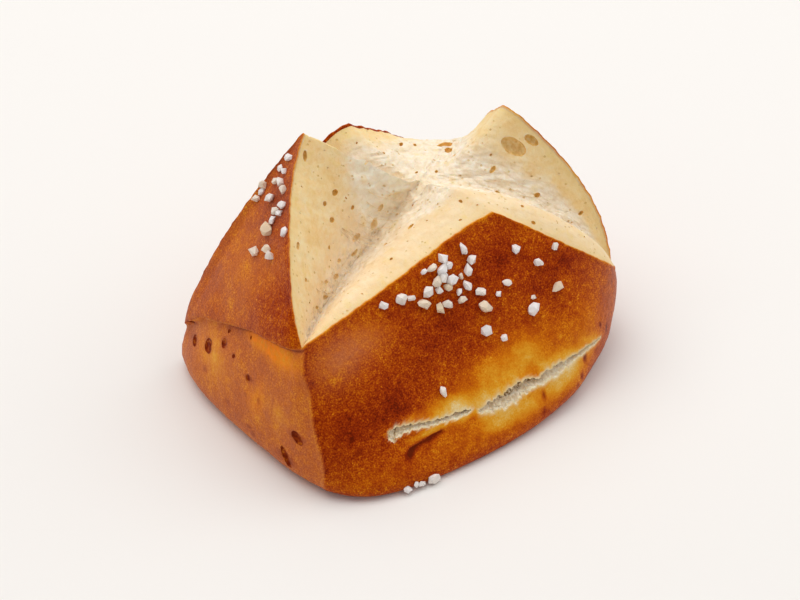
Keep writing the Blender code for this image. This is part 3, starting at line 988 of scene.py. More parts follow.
class ShapeTree(Board):
    """A Geometry Nodes tree with named inputs."""

    def __init__(self, name: str, inputs: dict[str, float | int]) -> None:
        """Makes the tree.

        Args:
            name: The tree's name.
            inputs: Its named inputs and their values, besides the finish, which every tree has.
        """
        super().__init__(bpy.data.node_groups.new(name, "GeometryNodeTree"))
        face = self.tree.interface
        face.new_socket("Geometry", in_out="INPUT", socket_type="NodeSocketGeometry")
        face.new_socket("Geometry", in_out="OUTPUT", socket_type="NodeSocketGeometry")
        for label, value in inputs.items():
            kind = "NodeSocketInt" if isinstance(value, int) else "NodeSocketFloat"
            face.new_socket(label, in_out="INPUT", socket_type=kind).default_value = value
        face.new_socket("Finish", in_out="INPUT", socket_type="NodeSocketMaterial")
        self.entry = self.node("NodeGroupInput")
        self.place = self.get("GeometryNodeInputPosition")
        self.normal = self.get("GeometryNodeInputNormal")

    def given(self, name: str) -> Wire:
        """One of the named inputs."""
        return self.out(self.entry, name)

    def mask(self, name: str, kind: str = "FLOAT") -> Wire:
        """An attribute that the mesh carries at each point."""
        settings = {"data_type": kind}
        return self.get("GeometryNodeInputNamedAttribute", settings, {"Name": name})

    def push(self, geometry: Wire, offset: Wire) -> Wire:
        """Moves a geometry's points by an offset."""
        inputs = {"Geometry": geometry, "Offset": offset}
        return self.get("GeometryNodeSetPosition", None, inputs)

    def shake(self, colour: Wire, amount: Term) -> Wire:
        """An offset to any side from a noise colour."""
        return self.vector("SCALE", self.vector("SUBTRACT", colour, NOISE_MIDDLE), scale=amount)

    def scatter(self, shape: Wire, picks: dict | None = None) -> Wire:
        """Puts a shape at each point, by the point's size, facing and turn.

        Args:
            shape: The shape, or the shapes to pick from.
            picks: Inputs that say how one is picked.

        Returns:
            The instances.
        """
        facing = {"Vector": self.mask("facing", "FLOAT_VECTOR")}
        faced = self.get("FunctionNodeAlignRotationToVector", {"axis": "Z"}, facing)
        turn = {"Axis": (0.0, 0.0, 1.0), "Angle": self.mask("turn")}
        spin = self.get("FunctionNodeAxisAngleToRotation", None, turn)
        turned = self.get("FunctionNodeRotateRotation", {"rotation_space": "LOCAL"}, {0: faced, 1: spin})
        inputs = {"Points": self.given("Geometry"), "Instance": shape, "Rotation": turned,
                  "Scale": self.mask("size", "FLOAT_VECTOR"), **(picks or {})}
        return self.get("GeometryNodeInstanceOnPoints", None, inputs)

    def close(self, geometry: Wire) -> None:
        """Ends the tree in Realize Instances and Set Material."""
        whole = self.get("GeometryNodeRealizeInstances", None, {"Geometry": geometry})
        inputs = {"Geometry": whole, "Material": self.given("Finish")}
        dressed = self.get("GeometryNodeSetMaterial", None, inputs)
        self.node("NodeGroupOutput", None, {0: dressed})

    def apply(self, obj: Piece, values: dict) -> None:
        """Runs the tree on an object and keeps the mesh.

        Args:
            obj: The object, whose mesh is the tree's geometry.
            values: Named inputs.
        """
        modifier = obj.modifiers.new(self.tree.name, "NODES")
        modifier.node_group = self.tree
        for item in self.tree.interface.items_tree:
            if item.item_type == "SOCKET" and item.in_out == "INPUT" and item.name in values:
                modifier[item.identifier] = values[item.name]
        bake_modifiers(obj)


# Finishes.


@dataclass(frozen=True)
class CrustFinish:
    """Lye-browned crust: cream where it tore, amber where it stretched, mahogany where it baked hardest."""

    mottle: float = 6.0
    patch: float = 1.6
    grain: float = 0.75
    speck: float = 0.36
    # Colours from the least baked to the most.
    bake: Stops = (
        (0.00, (0.86, 0.67, 0.34)), (0.10, (0.82, 0.48, 0.10)), (0.19, (0.80, 0.35, 0.020)),
        (0.30, (0.71, 0.205, 0.004)), (0.40, (0.57, 0.115, 0.003)), (0.50, (0.46, 0.071, 0.0025)),
        (0.60, (0.37, 0.042, 0.002)), (0.70, (0.29, 0.025, 0.002)), (0.80, (0.22, 0.014, 0.0015)),
        (0.94, (0.12, 0.008, 0.001)),
    )
    cream: Stops = ((0.3, (0.78, 0.56, 0.24)), (0.7, (0.88, 0.76, 0.50)))
    gold: Triple = (0.97, 0.25, 0.004)
    # The pale pink of a painted sheen, which stands in for light reflected off the crust.
    painted_sheen: Triple = (0.86, 0.46, 0.24)
    # The dark of real burn marks, and of painted shade in the fold's crease and in the scar's slit.
    scorch_and_shade_colour: Triple = (0.13, 0.012, 0.002)

    def level(self, paint: Paint, mottle: Wire, patch: Wire, speck: Wire) -> Wire:
        """How hard it is baked at each place, with its mottles and specks.

        Args:
            paint: The material's nodes.
            mottle: The largest blotches.
            patch: The smaller ones.
            speck: The finest ones.

        Returns:
            The place on the bake's ramp.
        """
        bake = paint.mask("bake")
        busy = 0.22 + 0.78 * paint.ease(bake, 0.24, 0.60)
        # Mottles show less under the painted sheen.
        busy = busy * (1.0 - paint.mask("blush") * 0.25)
        grain = paint.noise(self.grain, 2.0, 0.6)
        small = (patch - 0.5) * 0.52 + (grain - 0.5) * 0.25 + (speck - 0.5) * 1.0
        # Burn marks darken it, and so does painted shade in the fold's crease and the scar's slit.
        level = bake + (mottle - 0.5) * 0.42 + small * busy + paint.mask("scorch") * 0.38
        dots = 1.0 - paint.ease(paint.cells(1.0), 0.10, 0.22)
        return level - dots * 0.15 * busy

    def material(self) -> Material:
        """The material, which reads the crust's masks."""
        paint = Paint("baked_crust")
        mottle = paint.noise(self.mottle, 3.0, 0.55)
        patch = paint.noise(self.patch, 3.0, 0.6, 0.3)
        speck = paint.noise(self.speck, 2.0, 0.6)
        colour = paint.ramp(self.level(paint, mottle, patch, speck), self.bake)
        colour = paint.mix(paint.mask("gold") * (0.70 + (patch - 0.5) * 2.0), colour, self.gold)
        # Painted sheen: a pale pink veil that stands in for reflected light.
        sheen_strength = 0.23 + (mottle - 0.5) * 0.25 + (patch - 0.5) * 0.35 - (speck - 0.5) * 0.30
        colour = paint.mix(paint.mask("blush") * sheen_strength, colour, self.painted_sheen)
        # Burn marks, with painted shade in the fold's crease and the scar's slit.
        colour = paint.mix(paint.mask("scorch") ** 2.0, colour, self.scorch_and_shade_colour)
        colour = paint.mix(paint.mask("pale"), colour, paint.ramp(patch, self.cream))
        pits = paint.ease(paint.cells(0.85), 0.0, 0.55)
        normal = paint.bump(paint.noise(0.5, 3.0, 0.6) * 0.6 + pits * 0.4, 0.12, 0.9)
        gloss = 0.46 + (patch - 0.5) * 0.16 + (speck - 0.5) * 0.2 + paint.mask("pale") * 0.25
        return paint.finish(colour, gloss, normal, 0.14, (1.0, 0.42, 0.12))


@dataclass(frozen=True)
class BlotchFinish:
    """A blotchy finish with a fine bump, for what lies open under the crust."""

    name: str
    stops: Stops
    blotch: float
    bump: float
    roughness: float
    specular: float = 0.5
    glint: Triple = (1.0, 1.0, 1.0)
    soft: Softness = (0.0, 0.0, (1.0, 0.2, 0.1))

    def material(self) -> Material:
        """The material."""
        paint = Paint(self.name)
        colour = paint.ramp(paint.noise(self.blotch, 3.0, 0.6), self.stops)
        normal = paint.bump(paint.noise(self.bump, 2.0), 0.15, 0.8)
        return paint.finish(colour, self.roughness, normal, self.specular, self.glint, self.soft)


# The dark, slightly glossy inside of a burst blister.
CRATER = BlotchFinish(
    "burst_blister",
    ((0.38, (0.17, 0.012, 0.002)), (0.54, (0.30, 0.034, 0.003)), (0.68, (0.58, 0.15, 0.010))),
    blotch=0.9, bump=0.4, roughness=0.5, specular=0.2, glint=(1.0, 0.5, 0.2))
# The pale edge that shows where the crust tore.
TORN_LIP = BlotchFinish(
    "torn_lip", ((0.3, (0.74, 0.54, 0.28)), (0.7, (0.93, 0.82, 0.62))),
    blotch=0.8, bump=0.35, roughness=0.8, soft=(0.2, 1.5, (1.0, 0.6, 0.3)))


@dataclass(frozen=True)
class CrumbFinish:
    """Soft crumb: straw by the crust, cream on its skin, whiter and fibrous where it tore, with painted
    light and shade.
    """

    skin: Stops = ((0.3, (0.87, 0.63, 0.34)), (0.5, (0.89, 0.685, 0.43)), (0.72, (0.92, 0.74, 0.51)))
    warm: Stops = ((0.28, (0.90, 0.59, 0.22)), (0.5, (0.96, 0.70, 0.34)), (0.72, (0.97, 0.78, 0.46)))
    white: Stops = ((0.3, (0.83, 0.68, 0.47)), (0.5, (0.93, 0.79, 0.60)), (0.7, (0.97, 0.88, 0.74)))
    # Painted light, which brightens crumb that faces away from the lamps.
    lifted_light: Triple = (0.99, 0.89, 0.71)
    straw: Triple = (0.90, 0.60, 0.22)
    # Painted shade deep in the front-left valley.
    hollow_shade: Triple = (0.30, 0.18, 0.06)
    dot: Triple = (0.66, 0.40, 0.09)
    stain: Triple = (0.86, 0.62, 0.20)

    def material(self) -> Material:
        """The material, which reads the crumb's masks."""
        paint = Paint("soft_crumb")
        cloud = paint.noise(6.0, 4.0, 0.6)
        patch = paint.noise(1.3, 3.0, 0.6, 0.3)
        fine = paint.noise(0.4, 3.0, 0.6)
        skin = paint.ramp(cloud + (patch - 0.5) * 0.5, self.skin)
        warm = paint.ramp(cloud + (patch - 0.5) * 0.6, self.warm)
        colour = paint.mix(paint.mask("warm") + (cloud - 0.5) * 0.6, skin, warm)
        torn = paint.ease(paint.mask("torn") + (cloud - 0.5) * 0.8, 0.15, 0.8)
        colour = paint.mix(torn, colour, paint.ramp(patch, self.white))
        # Painted light on the inner left crumb, which faces away from the lamps.
        colour = paint.mix(paint.mask("lifted_light") * (0.75 + (patch - 0.5) * 2.0), colour, self.lifted_light)
        colour = paint.mix(paint.mask("straw") * (0.65 + (cloud - 0.5) * 1.2) * 0.8, colour, self.straw)
        # Painted shade: dark brown blotches deep in the front-left valley.
        colour = paint.mix(paint.mask("valley") * (0.10 + (patch - 0.5) * 2.6), colour, self.hollow_shade)
        dots = 1.0 - paint.ease(paint.cells(1.5), 0.12, 0.27)
        dots = dots * paint.ease(paint.noise(2.6, 1.0), 0.46, 0.6)
        colour = paint.mix(dots * 0.62, colour, self.dot)
        stains = paint.ease(paint.noise(3.2, 2.0), 0.58, 0.72)
        colour = paint.mix(stains * 0.35, colour, self.stain)
        normal = paint.bump(patch * 0.6 + fine * 0.5 - dots * 0.8, 0.20, 0.8)
        return paint.finish(colour, 0.78 + (fine - 0.5) * 0.2, normal, 0.35,
                            soft=(0.22, 1.8, (1.0, 0.62, 0.32)))


@dataclass(frozen=True)
class BurstFinish:
    """The torn crumb in the side split: cream, with painted brown-grey shade in the hollows under its upper
    lip.
    """

    cream: Stops = ((0.36, (0.72, 0.54, 0.33)), (0.5, (0.88, 0.71, 0.49)), (0.64, (0.96, 0.84, 0.63)))
    # Painted shade under the upper lip.
    hollow_shade: Triple = (0.22, 0.115, 0.03)

    def material(self) -> Material:
        """The material, which reads the strip's mask valley, its painted shade."""
        paint = Paint("burst_crumb")
        patch = paint.noise(1.1, 3.0, 0.6, 0.3)
        fine = paint.noise(0.4, 3.0, 0.6)
        # Painted shade under the upper lip, in blotches.
        shade = paint.mask("valley") * (0.25 + (patch - 0.5) * 1.6 + (fine - 0.5) * 1.4)
        colour = paint.mix(shade * 0.9, paint.ramp(patch, self.cream), self.hollow_shade)
        normal = paint.bump(patch * 0.5 + fine * 0.5, 0.25, 0.9)
        return paint.finish(colour, 0.8, normal, 0.3, soft=(0.12, 0.8, (1.0, 0.62, 0.32)))


@dataclass(frozen=True)
class PoreFinish:
    """The toasty inside of a bubble in the crumb, softer in a small or a large one."""

    toasty: Stops = ((0.3, (0.66, 0.36, 0.05)), (0.5, (0.86, 0.56, 0.16)), (0.72, (0.95, 0.75, 0.38)))
    soft: Stops = ((0.3, (0.87, 0.60, 0.26)), (0.6, (0.96, 0.76, 0.43)))

    def material(self) -> Material:
        """The material, which reads each bubble's tint."""
        paint = Paint("crumb_bubble")
        cloud = paint.noise(1.2, 3.0, 0.6)
        colour = paint.mix(paint.mask("tint"), paint.ramp(cloud, self.soft), paint.ramp(cloud, self.toasty))
        normal = paint.bump(paint.noise(0.5, 2.0), 0.12, 0.6)
        return paint.finish(colour, 0.62, normal, soft=(0.2, 1.5, (1.0, 0.6, 0.28)))


@dataclass(frozen=True)
class SaltFinish:
    """Opaque off-white grains, some of them stained straw."""

    stain: Stops = ((0.0, (0.88, 0.81, 0.77)), (0.45, (0.85, 0.76, 0.67)), (1.0, (0.80, 0.61, 0.40)))

    def material(self) -> Material:
        """The material, which reads each grain's tint."""
        paint = Paint("coarse_salt")
        cloud = paint.noise(0.7, 2.0, 0.5)
        colour = paint.ramp(paint.mask("tint") + (cloud - 0.5) * 0.3, self.stain)
        normal = paint.bump(paint.noise(0.45, 2.0), 0.12, 0.6)
        return paint.finish(colour, 0.38 + (cloud - 0.5) * 0.3, normal, soft=(0.35, 1.0, (1.0, 0.95, 0.9)))


@dataclass(frozen=True)
class FloorFinish:
    """A plain pale floor."""

    colour: Triple = (0.89, 0.848, 0.795)

    def material(self) -> Material:
        """The material."""
        paint = Paint("pale_floor")
        grain = paint.noise(30.0, 2.0)
        return paint.finish((*self.colour, 1.0), 0.85 + (grain - 0.5) * 0.02, specular=0.2)


# Trees that make or dress the shapes.


def lump_tree() -> ShapeTree:
    """A tree that puts one uneven lump at each point, for bubbles and blisters."""
    tree = ShapeTree("uneven_lumps", {
        "Roundness": 2, "Wobble": 0.0002, "Wobbles Per Metre": 900.0, "Seed": 0.0})
    ball = tree.get("GeometryNodeMeshIcoSphere", None,
                    {"Radius": 0.5, "Subdivisions": tree.given("Roundness")})
    whole = tree.get("GeometryNodeRealizeInstances", None, {"Geometry": tree.scatter(ball)})
    shift = tree.get("ShaderNodeCombineXYZ", None, {0: tree.given("Seed")})
    noise = {"Vector": tree.vector("ADD", tree.place, shift), "Scale": tree.given("Wobbles Per Metre"),
             "Detail": 1.0}
    colour = tree.get("ShaderNodeTexNoise", None, noise, "Color")
    tree.close(tree.push(whole, tree.shake(colour, tree.given("Wobble") * 2.0)))
    return tree


def crystal_tree(kinds: int = 6) -> ShapeTree:
    """A tree that puts one angular crystal at each point, for salt.

    Args:
        kinds: How many kinds of crystal there are.

    Returns:
        The tree.
    """
    tree = ShapeTree("angular_crystals", {"Angularity": 0.3})
    bag = tree.node("GeometryNodeJoinGeometry")
    for number in range(kinds):
        ball = tree.get("GeometryNodeMeshIcoSphere", None, {"Radius": 0.5, "Subdivisions": 1 + number % 2})
        moved = tree.vector("ADD", tree.place, (3.7 * number, 1.9 * number, 0.0))
        noise = {"Vector": moved, "Scale": 2.6, "Detail": 0.0}
        chips = tree.get("ShaderNodeTexNoise", None, noise, "Color")
        chipped = tree.push(ball, tree.shake(chips, tree.given("Angularity") * 2.0))
        hull = tree.get("GeometryNodeConvexHull", None, {0: chipped})
        kind = tree.get("GeometryNodeGeometryToInstance", None, {0: hull})
        tree.tree.links.new(kind.socket, bag.inputs[0])
    index = tree.get("GeometryNodeInputIndex")
    tree.close(tree.scatter(tree.out(bag), {"Pick Instance": True, "Instance Index": index}))
    return tree


def skin_tree() -> ShapeTree:
    """A tree that gives the crust its fine relief, where its mask skin lets it."""
    tree = ShapeTree("crust_skin", {"Dimple Height": 0.00016, "Pebble Height": 0.00010})
    dimples = tree.noise(4.2, 2.0, 0.5) - 0.5
    pebbles = tree.noise(1.5, 2.0, 0.5) - 0.5
    height = dimples * tree.given("Dimple Height") * 2.0 + pebbles * tree.given("Pebble Height") * 2.0
    offset = tree.vector("SCALE", tree.normal, scale=height * tree.mask("skin"))
    tree.close(tree.push(tree.given("Geometry"), offset))
    return tree


def tear_tree(pull: Triple = (0.807, -0.555, -0.202), drawn: float = 0.6) -> ShapeTree:
    """A tree that tears the crumb by its mask torn, and leaves soft swellings on its skin.

    Args:
        pull: The direction in which the crumb was pulled apart.
        drawn: How much the tears are drawn out that way.

    Returns:
        The tree.
    """
    tree = ShapeTree("torn_crumb", {
        "Tear Height": 0.0009, "Shred Height": 0.00028, "Skin Height": 0.00028})
    settings = {"operation": "DOT_PRODUCT"}
    along = tree.get("ShaderNodeVectorMath", settings, {0: tree.place, 1: pull}, "Value")
    shift = tree.vector("SCALE", pull, scale=along * drawn)
    stretched = tree.vector("SUBTRACT", tree.place, shift)
    tears = tree.noise(3.6, 3.0, 0.6, 0.8, "Color", stretched)
    tears = tree.shake(tears, tree.given("Tear Height") * 3.0)
    shreds = tree.noise(0.8, 2.0, 0.6, 0.6, "Color", stretched)
    shreds = tree.shake(shreds, tree.given("Shred Height") * 2.6)
    free = tree.mask("free")
    rough = tree.vector("SCALE", tree.vector("ADD", tears, shreds), scale=tree.mask("torn") * free)
    waves = (tree.noise(5.0, 2.0) - 0.5) * 2.0
    swell = waves + (tree.noise(1.6, 2.0) - 0.5) * 0.7
    soft = tree.vector("SCALE", tree.normal, scale=swell * tree.given("Skin Height") * free)
    tree.close(tree.push(tree.given("Geometry"), tree.vector("ADD", rough, soft)))
    return tree


def strand_tree() -> ShapeTree:
    """A tree that turns drawn lines into thin strands that thin out towards their middle."""
    tree = ShapeTree("torn_strands", {"Thickness": 0.0002, "Waver": 0.0004})
    lines = tree.get("GeometryNodeMeshToCurve", None, {"Mesh": tree.given("Geometry")})
    share = tree.get("GeometryNodeSplineParameter", key="Factor")
    middle = share * (1.0 - share) * 4.0
    colour = tree.noise(1.6, 1.0, 0.5, 0.0, "Color")
    lines = tree.push(lines, tree.shake(colour, middle * tree.given("Waver") * 2.0))
    ring = tree.get("GeometryNodeCurvePrimitiveCircle", None, {"Resolution": 5, "Radius": 1.0})
    thick = tree.given("Thickness") * tree.mask("gauge") * (1.6 - middle * 1.0)
    tree.close(tree.get("GeometryNodeCurveToMesh", None, {
        "Curve": lines, "Profile Curve": ring, "Scale": thick, "Fill Caps": True}))
    return tree


# The pieces of the roll.


@dataclass(frozen=True)
class Tones:
    """Soft places on the crust, each with its azimuth and elevation, reach across and up, and strength."""

    rows: tuple[Row, ...]

    def share(self, places: Places) -> Array:
        """What they add up to at each place."""
        total = np.zeros(places.azimuth.shape)
        for azimuth, elevation, across, up, strength in self.rows:
            beside = wrap(places.azimuth - azimuth) / across
            above = (places.elevation - elevation) / up
            total = total + strength * np.exp(-(beside ** 2 + above ** 2))
        return total


@dataclass(frozen=True)
class Stripe:
    """A soft stripe beside a line: its middle and width in millimetres, and its strength."""

    middle: float
    width: float
    strength: float

    def share(self, away: Array) -> Array:
        """How strong it is at each distance from the line."""
        return self.strength * bell((away - self.middle) / self.width)


@dataclass
class Crust:
    """The browned shell with its lips, fold, ridge, split and burst blisters."""

    columns: Columns
    relief: CrustRelief
    split: Split
    side_rows: int = 112
    lip_reach: float = 0.75
    wall: float = 1.7
    lip_taper: float = 0.35
    bead: float = 0.16
    bead_width: float = 0.7
    bead_unevenness: float = 0.9
    bead_wave: float = 5.0
    # Rings of the underside, of the lip (how far in and down), and behind it (how far below and in).
    under_shares: Row = (0.08, 0.25, 0.45, 0.65, 0.82, 0.93)
    lip_steps: tuple[Pair, ...] = ((0.22, -0.10), (0.60, -0.02), (0.95, 0.30), (1.05, 0.90))
    back_steps: tuple[Pair, ...] = ((2.0, 0.95), (4.0, 1.3), (9.0, 1.7))
    inner_shares: Row = (0.62, 0.35, 0.12)
    floor_shares: Row = (0.93, 0.6, 0.2)
    # How many degrees above the foot the back of the lip stays, and how high the inner wall goes.
    above_foot: float = 6.0
    inner_height: float = 0.7
    # A short slit below the left end of the split: where it starts, its run in degrees, depth and width.
    scar_start: Pair = (-124.2, -9.2)
    scar_run: Pair = (8.2, 0.6)
    scar_depth: float = 0.55
    scar_width: float = 0.38
    pinched: float = 0.22
    # How hard it baked in all, and where it baked harder or less.
    level: float = 0.55
    least_bake: float = 0.05
    baked: Tones = Tones((
        (-126, 0.5, 8, 5, 0.20), (-113, 12, 9, 6, 0.15), (-100, 21, 8, 5, 0.17), (-82, 28, 9, 6, 0.17),
        (-62, 18, 7, 4.5, 0.16), (-138, -1, 4.5, 5.5, 0.15), (-77, 15, 7, 4, 0.08),
        (-163, 20, 6, 6, 0.10), (-155, 28, 4, 9, 0.09), (-160, 43, 9, 6, 0.12), (100, 22, 30, 12, 0.10),
        (20, 20, 25, 14, 0.10), (-93, -1, 17, 5, -0.29), (-84, 3.5, 8, 5, -0.11),
        (-92, -12, 15, 3.5, -0.27), (-75, -9, 8, 5, -0.19), (-110, -5.5, 7, 2.8, -0.28),
        (-112, -12, 11, 3, -0.12), (-135, 17.5, 6, 4.5, -0.18), (-142, 11.5, 5, 4.5, -0.14),
        (-64, -1, 8, 7, -0.17), (-132, -11, 9, 2.5, -0.09), (-117, -4.4, 7.5, 2.6, -0.24),
        (-124.5, -3.8, 3.5, 1.4, -0.18), (-120, -7.7, 5.5, 0.8, -0.26), (-96, 39, 7, 3.5, -0.02),
        (-180, 28, 22, 20, -0.17), (-178, 42, 9, 10, 0.23), (60, -8, 40, 5, -0.14),
        (140, 4, 16, 9, -0.10), (60, 2, 18, 5, 0.10), (122, 26, 11, 7, 0.13), (80, 6, 12, 5, -0.14),
        (38, 22, 9, 7, 0.14), (5, 4, 12, 6, -0.12), (-15, 12, 9, 7, 0.12),
    ))
    # Where a painted sheen, a pale pink veil that stands in for reflected light, lies over the brown.
    painted_sheen: Tones = Tones((
        (-141.5, 12.5, 5, 5, 0.5), (-136, 15, 6, 4, 0.3), (-51, 2, 8, 11, 0.5), (-63, -8, 7, 4, 0.25),
        (120, 20, 25, 14, 0.3), (20, 6, 24, 9, 0.3),
    ))
    left_painted_sheen: float = 0.38
    # The cut side, below the fold: its bake and painted sheen, and where it is lighter or golden.
    cut_side_level: float = 0.43
    cut_side_painted_sheen: float = 0.5
    cut_side_light: Tones = Tones(((-179.0, -3.5, 8.0, 6.0, 0.12), (-153.5, -2.5, 5.0, 5.0, 0.10)))
    gold: Tones = Tones((
        (-158, 11.2, 7.5, 2.8, 1.4), (-167, 9.8, 4, 1.6, 0.7), (176, -2, 9, 8, 0.15),
        (-162, -4, 3, 3, 0.3), (-160, -1, 1.5, 4, 0.3),
    ))
    # A painted highlight along the upright ridge with a narrow darker band just past it, painted shade in
    # the fold's crease, and a painted highlight on the fold's rim.
    ridge_highlight: Stripe = Stripe(-0.15, 0.28, 0.13)
    ridge_dark: Stripe = Stripe(0.55, 0.45, 0.10)
    fold_shade: Stripe = Stripe(-0.55, 0.32, 0.85)
    fold_rim_highlight: Stripe = Stripe(0.15, 0.35, 0.17)
    lip_light: float = 0.16
    # Bake and paleness of the lip, and of the darker lip at the back.
    lip_marks: dict[str, float] = field(default_factory=lambda: {"bake": 0.28, "pale": 1.0})
    back_lip_marks: dict[str, float] = field(default_factory=lambda: {"bake": 0.62, "pale": 0.0})
    # Small scorches: azimuth, elevation, reach across and up in millimetres, and strength.
    scorches: tuple[Row, ...] = (
        (-85.3, -11.2, 0.5, 1, 0.75), (-86.5, -14.6, 0.5, 0.7, 0.6), (-88.4, -15.5, 0.5, 0.4, 0.5),
        (-69, -8.8, 0.7, 1.3, 1), (-71.2, -13, 0.6, 0.9, 0.9), (-57.3, -7.1, 0.6, 1.1, 1),
        (-99.4, -12.4, 0.3, 0.3, 0.6), (-91.5, -2.8, 0.25, 0.3, 0.7), (-124.2, -9.6, 0.9, 0.6, 1),
        (-60.5, -4, 0.5, 0.8, 0.9), (-63.5, -9.6, 0.5, 0.5, 0.6), (-73.5, -14.4, 0.5, 0.4, 0.8),
        (-51, 3, 0.4, 0.7, 0.7), (-136.5, -3.5, 0.8, 0.7, 0.4), (-135, -6, 1.2, 0.8, 0.5),
        (-141, -8.8, 0.6, 0.9, 0.5), (-162.6, -11, 0.8, 0.5, 0.5), (-163.5, 0.5, 0.9, 0.7, 0.5),
        (-159.5, 8.7, 0.3, 0.3, 0.6), (-171, -9.9, 1.3, 1, 0.3), (-160, -3, 0.4, 2.2, 0.25),
        (-155.5, -1.5, 0.3, 2.6, 0.25),
    )
    # Burst blisters: azimuth, elevation, half length, half width, depth and turn.
    blisters: tuple[Row, ...] = (
        (177, -2.4, 1.9, 1.6, 0.5, 0), (169.7, -5.7, 1.5, 1.1, 0.5, 30), (-176.8, 2.3, 1.3, 1.1, 0.4, 0),
        (-148.1, -4.5, 2, 1.2, 0.6, 70), (-150.7, -10.9, 3, 1.1, 0.8, 40),
        (-164.8, 0.2, 0.9, 0.8, 0.3, 0), (-167.7, 9.3, 0.5, 0.4, 0.3, 0),
        (-176.8, 5.8, 0.6, 0.5, 0.3, 0), (-171.7, 1.8, 0.6, 0.6, 0.3, 0),
        (166.7, -2.6, 1, 0.7, 0.35, 60),
    )
    # Seeded dark spots: between which azimuths and elevations, and how many.
    spatters: tuple[tuple[Pair, Pair, int], ...] = (
        ((-200, -148), (-14, 8), 14), ((-140, -50), (-15, -9.5), 12),
        ((30, 150), (-14, 10), 16))
    spatter_size: Pair = (0.3, 0.9)
    spatter_strength: Pair = (0.2, 0.5)
    sharp_angle: float = 50.0

    def lip_scale(self) -> Array:
        """The lip narrows to nothing at the ends of the cut."""
        return np.minimum(1.0, self.lip_taper * self.columns.width / self.lip_reach)

    def rings(self) -> tuple[list[Array], Places, Array]:
        """Every ring of the shell, from the middle of its underside out, up, over the lip and back in.

        Returns:
            The rings, the places on its outer side, and the share of the way up at each.
        """
        cols, form = self.columns, self.columns.form
        floor = np.array([form.heart[0], form.heart[1], 0.0])
        shares = np.linspace(0.0, 1.0, self.side_rows + 1)[:, None]
        elevation = cols.foot + (cols.edge - cols.foot) * shares
        share = np.broadcast_to(shares, elevation.shape)
        places = Places(form, np.broadcast_to(cols.azimuth, elevation.shape), elevation)
        ripple = wander(way_round(cols.edge_points), self.bead_wave, SEED + 21)
        uneven = 1.0 + self.bead_unevenness * ripple
        bead = self.bead * uneven * self.lip_scale() * bell(places.up(cols.edge) / self.bead_width)
        side = places.points(self.relief.height(places, share) + self.groove(places) + bead)
        side[0, :, 2] = 0.0
        rings = [floor + (side[0] - floor) * s for s in self.under_shares] + list(side)
        reach = (self.lip_reach * self.lip_scale())[:, None]
        down = np.array([0.0, 0.0, -1.0])
        top = side[-1]
        rings += [top + cols.inward * reach * into + down * reach * sink for into, sink in self.lip_steps]
        for back, thick in self.back_steps:
            drop = np.degrees(back / np.linalg.norm(top - form.middle, axis=1))
            lower = np.maximum(cols.edge - drop, cols.foot + self.above_foot)
            rings.append(form.point(cols.azimuth, lower, -thick))
        for s in self.inner_shares:
            lower = cols.foot + (cols.edge - cols.foot) * s * self.inner_height
            rings.append(form.point(cols.azimuth, lower, -self.wall))
        for s in self.floor_shares:
            ring = floor + (side[0] - floor) * s
            ring[:, 2] = self.wall
            rings.append(ring)
        return rings, places, share

    def groove(self, places: Places) -> Array:
        """The short scar below the left end of the split, and the pinched lips of the split."""
        t = np.clip((places.azimuth - self.scar_start[0]) / self.scar_run[0], 0.0, 1.0)
        slit = (start + run * t for start, run in zip(self.scar_start, self.scar_run))
        scar = -self.scar_depth * bell(places.away(*slit) / self.scar_width)
        lips = self.pinched * bell((self.split.away(places) - 0.5) / 0.7)
        return scar + lips * (self.split.half_gap(places.azimuth) > 0.0)

    def masks(self, places: Places, share: Array, edge: Array) -> dict[str, Array]:
        """The crust's masks on its outer side.

        Args:
            places: Where on the crust.
            share: The share of the way from the foot to the cut edge.
            edge: Elevation of the cut edge there.

        Returns:
            Bake, painted sheen, burn marks with painted shade, pale, skin and gold, each from 0 to 1.
        """
        bake = self.level + self.baked.share(places)
        # Painted sheen, strongest on the left petal, stands in for light reflected off the crust.
        from_left = wrap(places.azimuth + 200.0)
        left = smooth((44.0 - from_left) / 24.0) * smooth((from_left + 50.0) / 30.0)
        blush = self.painted_sheen.share(places) + self.left_painted_sheen * left
        height, along = self.relief.along_fold(places.azimuth)
        up, past_ridge = places.up(height), self.relief.past_ridge(places)
        started = smooth(along / 0.1) * (along > 0.0) * (along < 1.15)
        under_fold = smooth(0.5 - up / 0.8) * started
        cut_side = under_fold * smooth(0.5 - past_ridge / 0.9)
        gold = np.clip(self.gold.share(places), 0.0, 1.0) * cut_side
        bake = bake + (self.cut_side_level - bake) * cut_side - 0.15 * gold
        bake = bake - cut_side * self.cut_side_light.share(places)
        # On the cut side an even painted sheen, and none on its golden patch.
        blush = blush * (1.0 - cut_side) + cut_side * self.cut_side_painted_sheen * (1.0 - gold)
        # Painted highlight along the upright ridge, with a narrow darker band just past it.
        bake = bake - under_fold * (self.ridge_highlight.share(past_ridge) - self.ridge_dark.share(past_ridge))
        # Painted highlight on the rim of the fold.
        bake = bake - self.fold_rim_highlight.share(up) * started * (along < 1.0)
        pale, stretched = self.beside_split(places)
        bake = bake - stretched - self.lip_light * np.exp(np.minimum(places.up(edge), 0.0) / 0.35)
        # Painted shade in the crease under the fold's overhang.
        crease_shade = self.fold_shade.share(up) * smooth((along - 0.3) / 0.3) * (along < 1.0)
